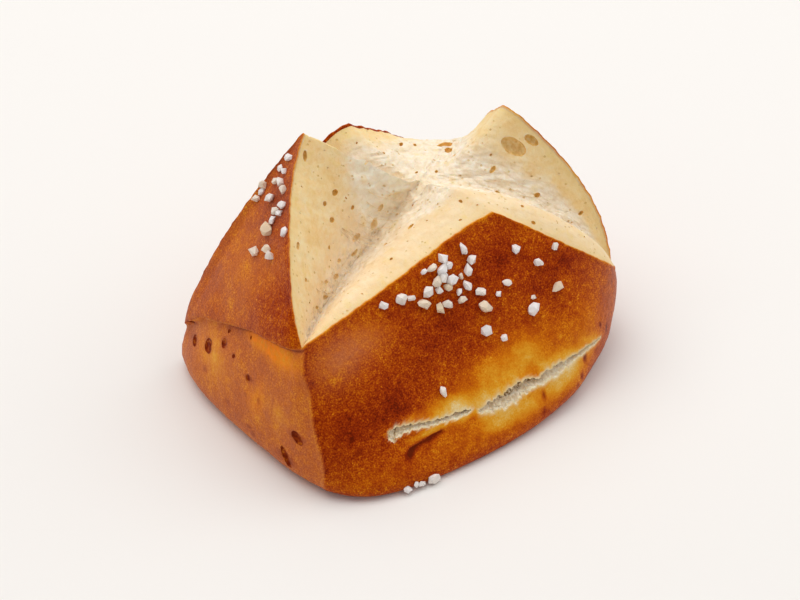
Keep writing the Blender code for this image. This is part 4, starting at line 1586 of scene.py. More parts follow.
        # Painted shade in the scar's slit, darker where it is deeper.
        scar = np.clip(-self.groove(places) / 0.4, 0.0, 1.0)
        fade = smooth((1.0 - share) * self.side_rows / 3.0)
        masks = {"bake": np.maximum(bake, self.least_bake), "blush": blush,
                 # Real burn marks, with painted shade in the fold's crease and in the scar's slit.
                 "scorch": crease_shade + 0.85 * scar + self.stains(places), "pale": pale,
                 "skin": smooth(share / 0.05) * fade, "gold": gold}
        return {name: np.clip(values, 0.0, 1.0) for name, values in masks.items()}

    def beside_split(self, places: Places) -> tuple[Array, Array]:
        """The torn edge beside the split and the stretched crust round it.

        Args:
            places: Where on the crust.

        Returns:
            How pale it is, and how much less it baked.
        """
        azimuth, apart = places.azimuth, self.split.away(places)
        below = smooth(0.5 + (self.split.centre(azimuth) - places.elevation) / 1.2)
        wide = smooth((azimuth + 108.0) / 4.0) * smooth((-58.0 - azimuth) / 10.0)
        fray = 0.34 + 0.16 * wander(np.radians(azimuth) * places.reach, 1.6, SEED + 41)
        pale_reach = fray * (1.0 - below) + (0.10 + 0.30 * wide) * below
        over = (0.12 + 0.09 * wide) * (1.0 - below) * bell(apart / (1.1 + 1.3 * wide))
        under = (0.06 + 0.16 * wide) * below * bell(apart / (1.0 + 1.8 * wide))
        return bell(apart / np.maximum(pale_reach, 0.08)), over + under

    def stains(self, places: Places) -> Array:
        """Dark rims round the burst blisters, the scorches, and seeded spots low on the roll.

        Args:
            places: Where on the crust.

        Returns:
            How scorched it is there.
        """
        total = np.zeros(places.azimuth.shape)
        for azimuth, elevation, length, width, _, _ in self.blisters:
            rim = places.away(azimuth, elevation, (length, width))
            total = total + 0.35 * np.exp(-((rim / 1.2) ** 6))
        for azimuth, elevation, across, up, strength in self.scorches:
            total = total + strength * bell(places.away(azimuth, elevation, (across, up)))
        rng = np.random.default_rng(SEED + 31)
        for across, up, count in self.spatters:
            for _ in range(count):
                away = places.away(rng.uniform(*across), rng.uniform(*up))
                size = rng.uniform(*self.spatter_size)
                total = total + rng.uniform(*self.spatter_strength) * bell(away / size)
        return total

    def build(self, finishes: Finishes) -> Piece:
        """Makes the shell, with its masks and fine relief, and cuts its split and blisters.

        Args:
            finishes: Materials by name.

        Returns:
            The crust.
        """
        rings, places, share = self.rings()
        count = self.columns.count
        x, y, _ = self.columns.form.heart
        points = np.concatenate(rings + [np.array([[x, y, 0.0], [x, y, self.wall]])])
        rows = np.arange(len(rings) * count).reshape(len(rings), count)
        faces = ring_faces(rows).tolist()
        low, high = len(points) - 2, len(points) - 1
        for j in range(count):
            k = (j + 1) % count
            faces.append([low, int(rows[0][k]), int(rows[0][j])])
            faces.append([high, int(rows[-1][j]), int(rows[-1][k])])
        crust = mesh_object("crust", points, faces, [finishes["crust"]])
        self.add_masks(crust, len(rings), places, share)
        skin_tree().apply(crust, {"Finish": finishes["crust"]})
        cutters = [self.split_cutter(part, finishes["lip"]) for part in self.split.parts]
        cutters.append(self.blister_cutter(crust, finishes["crater"]))
        carve(crust, cutters)
        self.match_masks(crust)
        crust.data.set_sharp_from_angle(angle=math.radians(self.sharp_angle))
        return crust

    def add_masks(self, crust: Piece, ring_count: int, places: Places, share: Array) -> None:
        """Stores the masks on every point of the shell.

        Args:
            crust: The plain shell.
            ring_count: How many rings it has.
            places: The places on its outer side.
            share: The share of the way up to the cut edge there.
        """
        cols = self.columns
        before = len(self.under_shares)
        on_back = cols.at(Side.BACK)
        for name, values in self.masks(places, share, cols.edge).items():
            whole = np.zeros((ring_count, cols.count))
            whole[:before] = values[0] if name not in ("skin", "scorch") else 0.0
            whole[before:before + len(values)] = values
            lips = whole[before + len(values):]
            lips[:] = self.lip_marks.get(name, 0.0)
            if name == "pale":
                lips[0], lips[1] = 0.0, 0.5
            if name in self.back_lip_marks:
                lips[:len(self.lip_steps), on_back] = self.back_lip_marks[name]
            add_attribute(crust, name, np.concatenate([whole.ravel(), [whole[0].mean(), 0.0]]))

    def match_masks(self, obj: Piece) -> None:
        """Gives the crust's masks to the points that have none, such as those of a cut's rim.

        Args:
            obj: A mesh on the crust's outer side.
        """
        form, stored = self.columns.form, obj.data.attributes
        x, y, z = (vertex_places(obj) / MM - TO_FRAME - form.middle).T
        azimuth, elevation = np.degrees(np.arctan2(y, x)), np.degrees(np.arctan2(z, np.hypot(x, y)))
        edge, foot = form.edge_elevation(azimuth), form.foot_elevation(azimuth)
        share = np.clip((elevation - foot) / (edge - foot), 0.0, 1.0)
        old = np.empty(len(x))
        stored["bake"].data.foreach_get("value", old)
        blank = old < self.least_bake / 2.0
        for name, values in self.masks(Places(form, azimuth, elevation), share, edge).items():
            stored[name].data.foreach_get("value", old)
            stored[name].data.foreach_set("value", np.where(blank, values, old))

    def split_cutter(self, part: tuple[Triple, ...], finish: Material) -> Piece:
        """A ragged wedge along one part of the side split.

        Args:
            part: The stations of the part.
            finish: The torn lip.

        Returns:
            The cutter.
        """
        form, split = self.columns.form, self.split
        azimuth = np.arange(part[0][0], part[-1][0], 0.32)
        elevation = split.centre(azimuth)
        upper, lower = split.lips(azimuth)
        reach = form.radius(azimuth, elevation)
        # How far out each edge of the wedge lies, and how wide the gap is there.
        edges = ((split.proud, 1.12), (-0.5, 1.0), (-1.2, 0.9), (-split.depth, 0.5))
        around = [(upper, *edge) for edge in edges] + [(-lower, *edge) for edge in edges[::-1]]
        rings = [form.middle + direction(azimuth, elevation + np.degrees(lip * wide / reach))
                 * (reach + out)[:, None] for lip, out, wide in around]
        return loft("split_cutter", np.stack(rings, axis=1), finish)

    def blister_cutter(self, crust: Piece, finish: Material) -> Piece:
        """Uneven hollows for the burst blisters.

        Args:
            crust: The shell.
            finish: The inside of a blister.

        Returns:
            One object with all the hollows.
        """
        tree = search_tree(crust)
        spots = LumpSpots()
        for azimuth, elevation, *halves, turn in self.blisters:
            near = self.columns.form.point(np.array(azimuth), np.array(elevation))
            spots.add(*nearest(tree, near), halves, math.radians(turn), 0.0)
        return spots.lumps("blister_cutter", lump_tree(), {
            "Roundness": 4, "Wobble": 0.35 * MM, "Wobbles Per Metre": 700.0, "Seed": 3.0, "Finish": finish})


class LumpSpots:
    """Points with a size, facing, turn and tint, at each of which a tree makes a lump."""

    def __init__(self) -> None:
        """Starts empty."""
        self.places: list[Triple] = []
        self.values: dict[str, list] = {"size": [], "facing": [], "turn": [], "tint": []}

    def add(self, place: Vector, facing: Vector, halves: Row, turn: float, tint: float) -> None:
        """Adds one spot: its place in metres, half sizes in millimetres and turn in radians."""
        self.places.append(tuple(place))
        size = [half * 2.0 * MM for half in halves]
        for values, value in zip(self.values.values(), (size, tuple(facing), turn, tint)):
            values.append(value)

    def lumps(self, name: str, tree: ShapeTree, values: dict) -> Piece:
        """Makes the lumps.

        Args:
            name: The object's name.
            tree: The tree that makes a lump at each spot.
            values: Named inputs of the tree.

        Returns:
            One object with all the lumps.
        """
        mesh = bpy.data.meshes.new(name)
        mesh.from_pydata(self.places, [], [])
        obj = in_scene(name, mesh)
        for label, stored in self.values.items():
            add_attribute(obj, label, np.array(stored))
        tree.apply(obj, values)
        turn_outward(obj)
        return obj


@dataclass
class Crumb:
    """The opened crumb: skin, torn middle and bubbles."""

    columns: Columns
    rows: int = 100
    # How far under the lip it starts, at most which share of the way in, how far down, and over
    # how many rows that fades.
    under_lip: float = 0.4
    most_under: float = 0.2
    lowered: float = 0.12
    fading_rows: float = 3.0
    # Its hidden wall: how far below the cut edge and how deep, then the share of the way up.
    wall_steps: tuple[Pair, ...] = ((1.2, 0.6), (3.0, 1.1), (8.0, 2.6))
    wall_shares: Pair = (0.5, 0.25)
    wall_depth: float = 5.0
    # How many degrees above the foot the first and the last of these rings stay, and their height.
    first_above_foot: float = 8.0
    last_above_foot: float = 2.0
    wall_height: float = 0.6
    # Each petal's least and most torn, the share up from the valley where that starts, and its warmth.
    petal_looks: dict[Side, Row] = field(default_factory=lambda: {
        Side.FRONT: (0.20, 0.75, 0.60, 0.12), Side.RIGHT: (0.12, 0.90, 0.85, 0.85),
        Side.BACK: (0.15, 0.8, 0.9, 0.7), Side.LEFT: (0.10, 0.75, 0.45, 0.85)})
    # A point near each large bubble, its half length, half width, depth and turn.
    holes: tuple[tuple[Triple, float, float, float, float], ...] = (
        ((31.3, -4.1, 48.7), 3.4, 2, 1.5, 110), ((35.3, -5.9, 49.9), 2, 1.1, 1.1, 110),
        ((33.5, -10.7, 38), 0.8, 0.6, 0.8, 0), ((24.5, 13, 41.4), 2.3, 1.2, 1.3, 0),
        ((-16.3, 11.9, 58), 1.4, 0.6, 0.9, 80), ((-11.4, 7.2, 48.2), 1, 0.8, 0.9, 0),
        ((-14.5, 4.3, 43.6), 0.9, 0.7, 0.8, 0), ((-28.4, -1.7, 46.5), 1, 0.6, 0.8, 60),
        ((0.1, -5, 41.5), 0.9, 0.7, 0.7, 0), ((-15.2, 6, 47.5), 0.7, 0.6, 0.8, 0),
        ((25.7, -3.6, 44.4), 1.1, 0.5, 0.8, 20), ((42, -16.7, 32.2), 0.7, 0.5, 0.6, 0),
        ((23.2, 9.5, 42.8), 1.6, 1, 1.2, 70), ((-29.7, -6.2, 40.2), 0.6, 0.5, 0.5, 0),
    )
    # Hollows beside the front-left valley: share along it, share up from it, half sizes and depth.
    valley_holes: tuple[Row, ...] = (
        (0.22, 0.16, 0.9, 0.5, 0.7), (0.30, 0.10, 1.3, 0.6, 0.8), (0.36, 0.22, 1, 0.7, 0.7),
        (0.42, 0.12, 1.4, 0.7, 0.9), (0.50, 0.20, 0.9, 0.6, 0.7), (0.58, 0.09, 1.2, 0.6, 0.8),
        (0.66, 0.17, 1.5, 0.8, 0.9), (0.75, 0.10, 1.6, 0.8, 0.8), (0.84, 0.14, 1, 0.6, 0.6),
    )
    # How far the large bubbles and those by the valley are sunk, and the look of the latter.
    hole_sunk: float = 0.25
    valley_hole_sunk: float = 0.2
    valley_hole_tint: float = 0.15
    # Small bubbles: how many, how far apart, smallest size and what the largest adds, how flat,
    # how deep, how sunk, where they may be, how likely they are untorn, and the size of a full tint.
    pore_count: int = 120
    pore_gap: float = 1.7
    pore_size: Pair = (0.22, 0.40)
    pore_flatness: Pair = (0.55, 0.95)
    pore_depth: Pair = (1.0, 1.6)
    pore_sunk: float = 0.3
    least_free: float = 0.9
    least_upright: float = 0.1
    untorn_chance: float = 0.45
    full_tint: float = 0.45
    most_throws: int = 40000
    sharp_angle: float = 60.0

    def grid(self) -> tuple[Array, Array]:
        """Points of the top from the cut edge (first row) to the valley (last row), and their numbers.

        Returns:
            The points, and a table of point numbers in which shared points have one number.
        """
        cols = self.columns
        reach = np.minimum(self.under_lip, self.most_under * cols.width)[:, None]
        start = cols.edge_points + cols.inward * reach
        start[:, 2] -= self.lowered
        rows = [start]
        for r in range(1, self.rows + 1):
            row = crumb_row(cols, 1.0 - r / self.rows)
            rows.append(row + (start - cols.edge_points) * np.exp(-r / self.fading_rows))
        index = np.arange((self.rows + 1) * cols.count).reshape(self.rows + 1, cols.count)
        ends = cols.step == 0
        index[:, ends] = index[0, ends]
        # Both sides of a valley share its points, and all four valleys share the middle.
        shared: dict[tuple[Corner | None, int], int] = {}
        for j in np.flatnonzero(~ends):
            at_middle = cols.step[j] == cols.form.ends[cols.corner[j]].columns
            key = (None, 0) if at_middle else (cols.corner[j], int(cols.step[j]))
            index[self.rows, j] = shared.setdefault(key, int(index[self.rows, j]))
        return np.stack(rows), index

    def masks(self, points: Array) -> dict[str, Array]:
        """The crumb's masks on its top.

        Args:
            points: The rows of points.

        Returns:
            Torn, straw, the valley's painted shade, free, warm, and the painted light on the inner left,
            each from 0 to 1.
        """
        cols = self.columns
        share = np.linspace(1.0, 0.0, self.rows + 1)[:, None] * np.ones(cols.count)
        to_edge = (1.0 - share) * cols.width
        least, most, start, warmth = np.array([self.petal_looks[side] for side in cols.side]).T
        torn = least + (most - least) * smooth((start - share) / 0.5)
        middle = np.linalg.norm(points - np.array(cols.form.cross_middle), axis=-1)
        inner_left = cols.at(Side.LEFT) * smooth((points[..., 0] + 10.0) / 9.0)
        back_left = cols.at(corner=Corner.BACK_LEFT) * smooth((0.85 - share) / 0.3)
        for most_torn in (0.95 * smooth((16.0 - middle) / 8.0), 0.9 * back_left, 0.95 * inner_left):
            torn = np.maximum(torn, most_torn)
        deep = cols.at(corner=Corner.FRONT_LEFT) * np.where(cols.at(Side.LEFT), 1.0, 0.25)
        deep = deep * smooth(cols.along / 0.1) * smooth((0.92 - cols.along) / 0.25)
        straw = np.exp(-to_edge / 1.6) + 0.35 * np.exp(-to_edge / 7.0) + 0.30 * bell(middle / 11.0)
        masks = {"torn": torn * smooth((to_edge - 1.5) / 3.0), "straw": straw,
                 # Painted shade deep in the front-left valley, mostly on the left petal's side.
                 "valley": bell(share / 0.22) * deep,
                 "free": smooth((to_edge - 0.3) / 1.2) * smooth(cols.width / 3.0),
                 "warm": warmth * smooth((share - 0.15) / 0.55),
                 # Painted light on the inner left crumb, which faces away from the lamps.
                 "lifted_light": 1.3 * inner_left * smooth((to_edge - 3.0) / 4.0)}
        return {name: np.clip(values, 0.0, 1.0) for name, values in masks.items()}

    def wall_rings(self) -> list[Array]:
        """Rings of the hidden wall, from under the lip down inside the crust."""
        cols, form = self.columns, self.columns.form
        rings = []
        for drop, depth in self.wall_steps:
            down = np.degrees(drop / np.linalg.norm(cols.edge_points - form.middle, axis=1))
            lower = np.maximum(cols.edge - down, cols.foot + self.first_above_foot)
            rings.append(form.point(cols.azimuth, lower, -depth))
        for share in self.wall_shares:
            lower = cols.foot + self.last_above_foot + (cols.edge - cols.foot) * share * self.wall_height
            rings.append(form.point(cols.azimuth, lower, -self.wall_depth))
        return rings

    def build(self, finishes: Finishes) -> Piece:
        """Makes the crumb, tears it and cuts its bubbles.

        Args:
            finishes: Materials by name.

        Returns:
            The crumb.
        """
        cols = self.columns
        top, index = self.grid()
        walls = self.wall_rings()
        base = np.array([[*cols.form.heart[:2], walls[-1][:, 2].mean()]])
        points = np.concatenate([top.reshape(-1, 3)] + walls + [base])
        hidden = index.size + np.arange(len(walls) * cols.count).reshape(len(walls), cols.count)
        faces = []
        for quad in ring_faces(list(hidden[::-1]) + list(index)).tolist():
            ring = [a for a, b in zip(quad, quad[1:] + quad[:1]) if a != b]
            if len(set(ring)) >= 3:
                faces.append(ring)
        faces += np.stack([np.full(cols.count, len(points) - 1), np.roll(hidden[-1], -1), hidden[-1]],
                          axis=1).tolist()
        used, numbers = np.unique(np.concatenate([np.array(face) for face in faces]), return_inverse=True)
        cuts = np.cumsum([len(face) for face in faces])[:-1]
        faces = [part.tolist() for part in np.split(numbers, cuts)]
        crumb = mesh_object("crumb", points[used], faces, [finishes["crumb"]])
        below = np.zeros(len(points) - index.size)
        for name, values in self.masks(top).items():
            add_attribute(crumb, name, np.concatenate([values.ravel(), below])[used])
        turn_outward(crumb)
        add_attribute(crumb, "tint", np.zeros(len(crumb.data.vertices)))
        tear_tree().apply(crumb, {"Finish": finishes["crumb"]})
        carve(crumb, [self.pores(crumb, finishes["pore"])])
        crumb.data.set_sharp_from_angle(angle=math.radians(self.sharp_angle))
        return crumb

    def pores(self, crumb: Piece, finish: Material) -> Piece:
        """The bubbles' cutter: the large ones, those by the valley, and small ones where they fit.

        Args:
            crumb: The crumb, already torn.
            finish: The inside of a bubble.

        Returns:
            One object with all the hollows.
        """
        cols = self.columns
        tree = search_tree(crumb)
        spots = LumpSpots()
        taken: list[tuple[Vector, float]] = []
        for near, length, width, depth, turn in self.holes:
            place, facing = nearest(tree, np.array(near))
            sunk = place - facing * depth * self.hole_sunk * MM
            tint = min(1.0, 1.35 - 0.2 * length)
            spots.add(sunk, facing, (length, width, depth), math.radians(turn), tint)
            taken.append((place, length * MM))
        beside = sorted(np.flatnonzero(cols.at(Side.LEFT, Corner.FRONT_LEFT)), key=lambda j: cols.step[j])
        for along, up, length, width, depth in self.valley_holes:
            start = int(along * (len(beside) - 1))
            row = crumb_row(cols, up)
            here, ahead = row[beside[start]], row[beside[min(start + 4, len(beside) - 1)]]
            place, facing = nearest(tree, here)
            turned = facing.to_track_quat("Z", "Y").inverted() @ Vector(ahead - here)
            sunk = place - facing * depth * self.valley_hole_sunk * MM
            turn = math.atan2(turned.y, turned.x)
            spots.add(sunk, facing, (length, width, depth), turn, self.valley_hole_tint)
            taken.append((place, length * MM))
        self.small_pores(crumb.data, spots, taken)
        return spots.lumps("pore_cutter", lump_tree(), {
            "Roundness": 3, "Wobble": 0.16 * MM, "Wobbles Per Metre": 1100.0, "Seed": 7.0,
            "Finish": finish})

    def small_pores(self, mesh: bpy.types.Mesh, spots: LumpSpots,
                    taken: list[tuple[Vector, float]]) -> None:
        """Adds seeded small bubbles, most of them where the crumb is torn.

        Args:
            mesh: The crumb's mesh.
            spots: The bubbles so far.
            taken: Where these are and how far they reach, in metres.
        """
        torn, free = mesh.attributes["torn"].data, mesh.attributes["free"].data
        rng = random.Random(SEED + 3)
        throws = 0
        while len(spots.places) < self.pore_count and throws < self.most_throws:
            throws += 1
            vertex = mesh.vertices[rng.randrange(len(mesh.vertices))]
            size = self.pore_size[0] + self.pore_size[1] * rng.random() ** 3
            flat = rng.uniform(*self.pore_flatness)
            turn = rng.uniform(0.0, math.pi)
            if free[vertex.index].value < self.least_free or vertex.normal.z < self.least_upright:
                continue
            gap = (self.pore_gap + size) * MM
            if any((vertex.co - place).length < gap + reach for place, reach in taken):
                continue
            chance = self.untorn_chance + (1.0 - self.untorn_chance) * torn[vertex.index].value
            if rng.random() > chance:
                continue
            deep = size * rng.uniform(*self.pore_depth)
            sunk = vertex.co - vertex.normal * size * self.pore_sunk * MM
            spots.add(sunk, vertex.normal, (size, size * flat, deep), turn, size / self.full_tint)
            taken.append((vertex.co.copy(), size * MM))


@dataclass
class BurstCrumb:
    """The torn crumb that fills the side split, nearly flush with the crust."""

    relief: CrustRelief
    split: Split
    widths: int = 30
    overlap: float = 1.3
    thick: float = 2.6
    step: float = 0.20
    # Where painted shade darkens the torn crumb under the upper lip: azimuth, half its length in degrees,
    # and strength.
    hollows: tuple[Triple, ...] = (
        (-127.3, 0.7, 0.9), (-124.2, 0.8, 0.8), (-120.5, 1.6, 0.5), (-116.3, 1, 0.8), (-110.2, 2.2, 1.1),
        (-101.5, 1, 0.5), (-96.2, 2.4, 1.1), (-91.6, 2, 1.2), (-88, 1.2, 0.8), (-84.6, 1.6, 0.9),
        (-78.5, 1.5, 0.7), (-72, 2, 0.6),
    )
    tear_height: float = 0.3
    shred_height: float = 0.35
    sharp_angle: float = 70.0

    def depth(self, away: Array, across: float) -> Array:
        """How deep it lies, by the distance from the lips and from -1 to 1 across the gap."""
        open_depth = 0.35 + 0.50 * smooth(0.5 + 0.7 * across)
        return open_depth + (1.3 - open_depth) * smooth(0.15 + away / 0.7)

    def strip(self, part: tuple[Triple, ...], finish: Material) -> Piece:
        """The closed strip of crumb behind one part of the split.

        Args:
            part: The stations of the part.
            finish: The torn crumb.

        Returns:
            The strip.
        """
        form, split = self.split.form, self.split
        azimuth = np.arange(part[0][0] - 1.0, part[-1][0] + 1.0, self.step)
        centre = split.centre(azimuth)
        foot, edge = form.foot_elevation(azimuth), form.edge_elevation(azimuth)
        reach = form.radius(azimuth, centre)
        upper, lower = split.lips(azimuth)
        front, back = [], []
        for v in np.linspace(-1.0, 1.0, self.widths):
            elevation = centre + np.degrees(v * ((upper if v > 0.0 else lower) + self.overlap) / reach)
            places = Places(form, azimuth, elevation)
            lift = self.relief.height(places, (elevation - foot) / (edge - foot))
            front.append(places.points(lift - self.depth(split.away(places), v)))
            back.append(places.points(lift - self.thick))
        strip = loft("burst_crumb", np.stack(front + back[::-1], axis=1), finish)
        across = np.arange(2 * self.widths) / self.widths * 2.0 - 1.0
        torn = np.zeros((len(azimuth), 2 * self.widths))
        torn[:, :self.widths] = 1.0
        # Painted shade under the upper lip, strongest at the listed places.
        holes = sum(h * bell((azimuth - az) / half) for az, half, h in self.hollows)
        hollow_shade = torn * (0.5 + 3.2 * holes)[:, None] * bell((across + 0.02) / 0.24)
        for name, values in (("torn", torn), ("free", torn), ("straw", torn * 0.1), ("valley", hollow_shade)):
            add_attribute(strip, name, values.ravel())
        tear_tree().apply(strip, {"Finish": finish, "Tear Height": self.tear_height * MM,
                                  "Shred Height": self.shred_height * MM})
        strip.data.set_sharp_from_angle(angle=math.radians(self.sharp_angle))
        return strip

    def build(self, finishes: Finishes) -> list[Piece]:
        """Makes one strip for each part of the split."""
        return [self.strip(part, finishes["burst"]) for part in self.split.parts]


@dataclass
class Strands:
    """Thin strands that stretch across the front-left valley and the side split."""

    columns: Columns
    split: Split
    points: int = 9
    valley_count: int = 26
    split_count: int = 16
    thickness: float = 0.085
    waver: float = 0.9
    sag: float = 0.12

    def valley_ends(self, rng: np.random.Generator) -> list[tuple[Array, Array, float]]:
        """Seeded ends across the front-left valley.

        Args:
            rng: The seeded draws.

        Returns:
            Two ends and a gauge for each strand.
        """
        cols, ends = self.columns, []
        left = np.flatnonzero(cols.at(Side.LEFT, Corner.FRONT_LEFT))
        front = np.flatnonzero(cols.at(Side.FRONT, Corner.FRONT_LEFT))
        by_step = {int(cols.step[j]): j for j in front}
        rows = [crumb_row(cols, share) for share in np.round(np.linspace(0.04, 0.4, 10), 3)]
        for _ in range(self.valley_count):
            j = left[int(rng.integers(8, len(left) - 30))]
            k = by_step[int(np.clip(cols.step[j] + rng.integers(-4, 5), 1, len(front) - 1))]
            one = rows[int(rng.integers(1, 9))][j]
            other = rows[int(rng.integers(0, 4))][k]
            ends.append((one, other, rng.uniform(0.4, 1.0)))
        return ends

    def split_ends(self, rng: np.random.Generator) -> list[tuple[Array, Array, float]]:
        """Seeded ends across the side split.

        Args:
            rng: The seeded draws.

        Returns:
            Two ends and a gauge for each strand.
        """
        form, split, ends = self.columns.form, self.split, []
        for _ in range(self.split_count):
            part = split.parts[int(rng.random() < 0.65)]
            az = rng.uniform(part[1][0], part[-2][0])
            a, b = np.array([az]), np.array([az + rng.uniform(-0.8, 0.8)])
            reach = form.radius(a, split.centre(a))
            over, under = (np.degrees(lip / reach) for lip in (split.lips(a)[0], split.lips(b)[1]))
            ends.append((form.point(a, split.centre(a) + over, -0.9)[0],
                         form.point(b, split.centre(b) - under, -0.9)[0], rng.uniform(0.35, 0.8)))
        return ends

    def build(self, finishes: Finishes) -> Piece:
        """Draws the sagging lines and makes the strands along them.

        Args:
            finishes: Materials by name.

        Returns:
            One object with all the strands.
        """
        rng = np.random.default_rng(SEED + 51)
        points, edges, gauge = [], [], []
        for one, other, thick in self.valley_ends(rng) + self.split_ends(rng):
            first = len(points)
            sag = self.sag * np.linalg.norm(other - one)
            for i in range(self.points):
                t = i / (self.points - 1)
                points.append(one + (other - one) * t - np.array([0.0, 0.0, sag * 4.0 * t * (1.0 - t)]))
                gauge.append(thick)
            edges += [(first + i, first + i + 1) for i in range(self.points - 1)]
        mesh = bpy.data.meshes.new("strands")
        mesh.from_pydata(in_frame(points).tolist(), edges, [])
        strands = in_scene("strands", mesh)
        add_attribute(strands, "gauge", np.array(gauge))
        strand_tree().apply(strands, {"Thickness": self.thickness * MM, "Waver": self.waver * MM,
                                      "Finish": finishes["crumb"]})
        turn_outward(strands)
        strands.data.polygons.foreach_set("use_smooth", np.ones(len(strands.data.polygons), bool))
        return strands


@dataclass
class Salt:
    """Coarse salt, thrown on in pinches."""

    form: RollForm
    # Middle azimuth and elevation of each pinch, then its spread across and up and its count, if it
    # is more than a single grain.
    pinches: tuple[Row, ...] = (
        (-105.5, 40.5), (-96.1, 37.6), (-94.4, 33.5), (-120.5, 34.4), (-114.5, 35.4, 1.5, 1.1, 2),
        (-107.6, 33.5, 2, 1.3, 4), (-110, 29.1, 2.4, 0.4, 2), (-99.4, 27.5, 2.4, 1.5, 3),
        (-110.3, 26.2, 2.7, 0.5, 3), (-123.6, 25.7, 1.9, 0.5, 2), (-118.2, 23.1),
        (-111.2, 20.8, 1.3, 0.9, 2), (-103.7, 21.3, 0.5, 1.6, 2), (-94.8, 21.6), (-94.9, 16.2),
        (-88.6, 18.6), (-83.7, 20.7), (-74.3, 29.1), (-69.5, 21.8), (-62, 22.9), (-68.4, 12.8),
        (-77.7, 11.3, 1.2, 1.5, 2), (-97, 9.4), (-92, 6), (-127.3, 31.5), (-131.7, 25),
        (-115, -1, 0.2, 0.2, 1), (171, 54, 2, 1.5, 2), (172.5, 50.3, 3.6, 1.8, 3),
        (177.5, 48, 2.3, 0.4, 2), (165.5, 43.4, 0.9, 0.9, 2), (175.4, 43.6), (-175.2, 44, 2, 1.8, 3),
        (167.6, 40.2), (-177.8, 38.5, 1.5, 1.4, 2), (-166.8, 39.2), (-168.5, 32, 2.4, 0.6, 2),
        (-178.1, 28.8), (-157.2, 31.8), (99.8, 13.8, 0.2, 0.2, 1), (25, 26, 14, 8, 9),
        (98, 26, 16, 10, 12), (-126, -15.3, 3, 0.3, 4),
    )
    single: Triple = (0.3, 0.3, 1)
    length: Pair = (1.7, 3.1)
    flatness: Pair = (0.6, 0.95)
    sunk: float = 0.25
    gap: float = 1.75
    from_edge: float = 2.2
    lowest: float = 1.2
    most_throws: int = 400
    lean: float = 0.35
    angularity: float = 0.34

    def places(self) -> list[Array]:
        """Throws the grains, none on another and none over a cut edge.

        Returns:
            A point of the plain crust for each.
        """
        rng = random.Random(SEED)
        places: list[Array] = []
        for azimuth, elevation, *spread in self.pinches:
            across, up, count = spread or self.single
            thrown = 0
            for _ in range(self.most_throws):
                if thrown == count:
                    break
                az = np.array([wrap(rng.gauss(azimuth, across))])
                el = np.array([rng.gauss(elevation, up)])
                reach = self.form.radius(az, el)[0]
                margin = math.radians(self.form.edge_elevation(az)[0] - el[0]) * reach
                place = self.form.point(az, el)[0]
                near = any(np.linalg.norm(place - other) < self.gap for other in places)
                if margin < self.from_edge or place[2] < self.lowest or near:
                    continue
                places.append(place)
                thrown += 1
        return places

    def build(self, crust: Piece, finishes: Finishes) -> Piece:
        """Makes the grains, each sunk a little in the crust.

        Args:
            crust: The crust that carries them.
            finishes: Materials by name.

        Returns:
            One object with all the grains.
        """
        tree = search_tree(crust)
        rng, tints = random.Random(SEED + 1), random.Random(SEED + 2)
        spots = LumpSpots()
        for near in self.places():
            place, facing = nearest(tree, near)
            length = rng.uniform(*self.length)
            width = length * rng.uniform(*self.flatness)
            height = length * rng.uniform(*self.flatness)
            turn = rng.uniform(0.0, 2.0 * math.pi)
            lifted = place + facing * height * (0.5 - self.sunk) * MM
            leaning = facing + Vector([tints.uniform(-self.lean, self.lean) for _ in range(3)])
            halves = (length / 2.0, width / 2.0, height / 2.0)
            spots.add(lifted, leaning.normalized(), halves, turn, tints.random() ** 2)
        values = {"Angularity": self.angularity, "Finish": finishes["salt"]}
        grains = spots.lumps("salt", crystal_tree(), values)
        grains.data.polygons.foreach_set("use_smooth", np.zeros(len(grains.data.polygons), bool))
        return grains


# The floor, the light and the camera.


@dataclass(frozen=True)
class Panel:
    """A square light panel, in metres and watts."""

    name: str
    place: Triple
    size: float
    power: float

    def build(self) -> None:
        """Adds the light, facing the roll."""
        data = bpy.data.lights.new(self.name, "AREA")
        data.size = self.size
        data.energy = self.power
        place = Vector(self.place)
        turn = place.to_track_quat("Z", "Y").to_matrix().to_4x4()
        in_scene(self.name, data).matrix_world = Matrix.Translation(place) @ turn


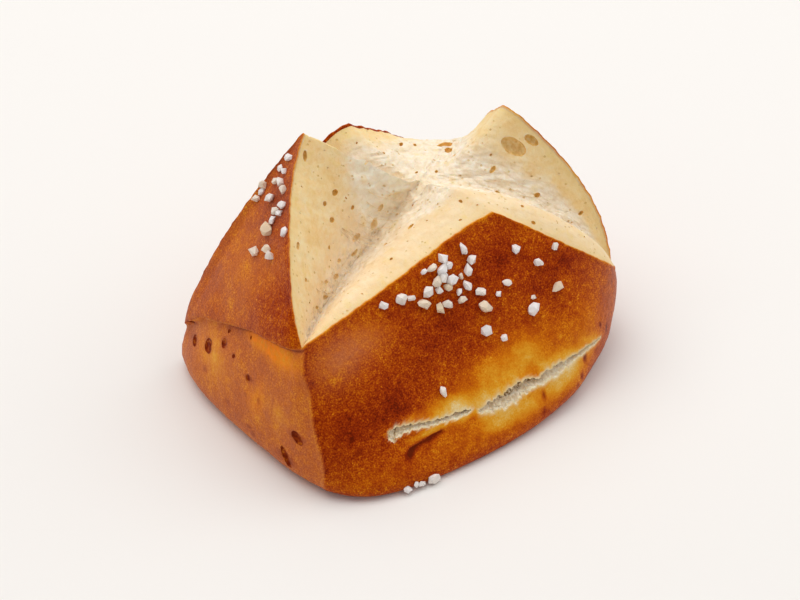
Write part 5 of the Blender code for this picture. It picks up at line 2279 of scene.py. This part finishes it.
@dataclass
class Studio:
    """A plain pale floor, soft light and a camera at the photograph's angle."""

    # The camera's place and aim, where the roll is worked out.
    camera_place: Triple = (-280.567, -372.353, 402.6)
    camera_aim: Triple = (-1.937, -4.333, 19.28)
    lens: float = 115.4
    sensor: float = 36.0
    near_clip: float = 0.01
    floor_size: float = 4.0
    panels: tuple[Panel, ...] = (
        Panel("left_panel", (-0.22, 0.40, 1.10), 1.1, 6.8),
        Panel("right_panel", (0.42, 0.30, 1.10), 1.3, 3.8),
        Panel("near_panel", (0.60, -0.30, 0.72), 0.9, 2.2))
    world_strength: float = 0.45
    world_colour: Triple = (0.95, 0.98, 1.03)

    def build(self) -> Piece:
        """Makes the floor, the lights and the camera.

        Returns:
            The floor.
        """
        half = self.floor_size / 2.0
        corners = [(-half, -half, 0.0), (half, -half, 0.0), (half, half, 0.0), (-half, half, 0.0)]
        mesh = bpy.data.meshes.new("floor")
        mesh.from_pydata(corners, [], [(0, 1, 2, 3)])
        mesh.materials.append(FloorFinish().material())
        self.add_camera()
        for panel in self.panels:
            panel.build()
        world = bpy.data.worlds.new("studio")
        bpy.context.scene.world = world
        world.use_nodes = True
        background = world.node_tree.nodes["Background"]
        background.inputs["Color"].default_value = (*self.world_colour, 1.0)
        background.inputs["Strength"].default_value = self.world_strength
        bpy.context.scene.view_settings.view_transform = "Standard"
        return in_scene("floor", mesh)

    def add_camera(self) -> None:
        """Adds the camera, turned to its aim and held level."""
        data = bpy.data.cameras.new("camera")
        data.lens = self.lens
        data.sensor_width = self.sensor
        data.clip_start = self.near_clip
        place, aim = (Vector(point + TO_FRAME) * MM for point in (self.camera_place, self.camera_aim))
        back = (place - aim).normalized()
        right = Vector((0.0, 0.0, 1.0)).cross(back).normalized()
        turn = Matrix((right, back.cross(right), back)).transposed().to_4x4()
        camera = in_scene("camera", data)
        camera.matrix_world = Matrix.Translation(place) @ turn
        bpy.context.scene.camera = camera


# The pieces on the roll's body.


def keep_inside(piece: Piece) -> None:
    """Presses what stands out of the CAD box by a hair back into it."""
    low, high = (np.array(corner) for corner in CAD_BOX)
    low[:2] += BOX_MARGIN
    inside = np.clip(vertex_places(piece), low, high - BOX_MARGIN)
    piece.data.vertices.foreach_set("co", inside.ravel())
    piece.data.update()


def attach(piece: Piece) -> None:
    """Puts a finished piece on the roll's body, in place of the CAD node."""
    keep_inside(piece)
    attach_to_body(piece, BODY)
    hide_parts(NODE)
    triangles = sum(len(face.vertices) - 2 for face in piece.data.polygons)
    log.info("%s: %d triangles", piece.name, triangles)


def main() -> None:
    """Builds the roll, the floor, the light and the camera."""
    logging.basicConfig(level=logging.INFO, format="%(message)s", stream=sys.stdout)
    looks = {"crust": CrustFinish(), "crater": CRATER, "lip": TORN_LIP, "crumb": CrumbFinish(),
             "burst": BurstFinish(), "pore": PoreFinish(), "salt": SaltFinish()}
    finishes = {name: look.material() for name, look in looks.items()}
    form = RollForm()
    columns = Columns.of(form)
    split = Split(form)
    relief = CrustRelief()
    crust = Crust(columns, relief, split).build(finishes)
    attach(crust)
    attach(Crumb(columns).build(finishes))
    for strip in BurstCrumb(relief, split).build(finishes):
        attach(strip)
    attach(Strands(columns, split).build(finishes))
    attach(Salt(form).build(crust, finishes))
    Studio().build()


if __name__ == "__main__":
    main()
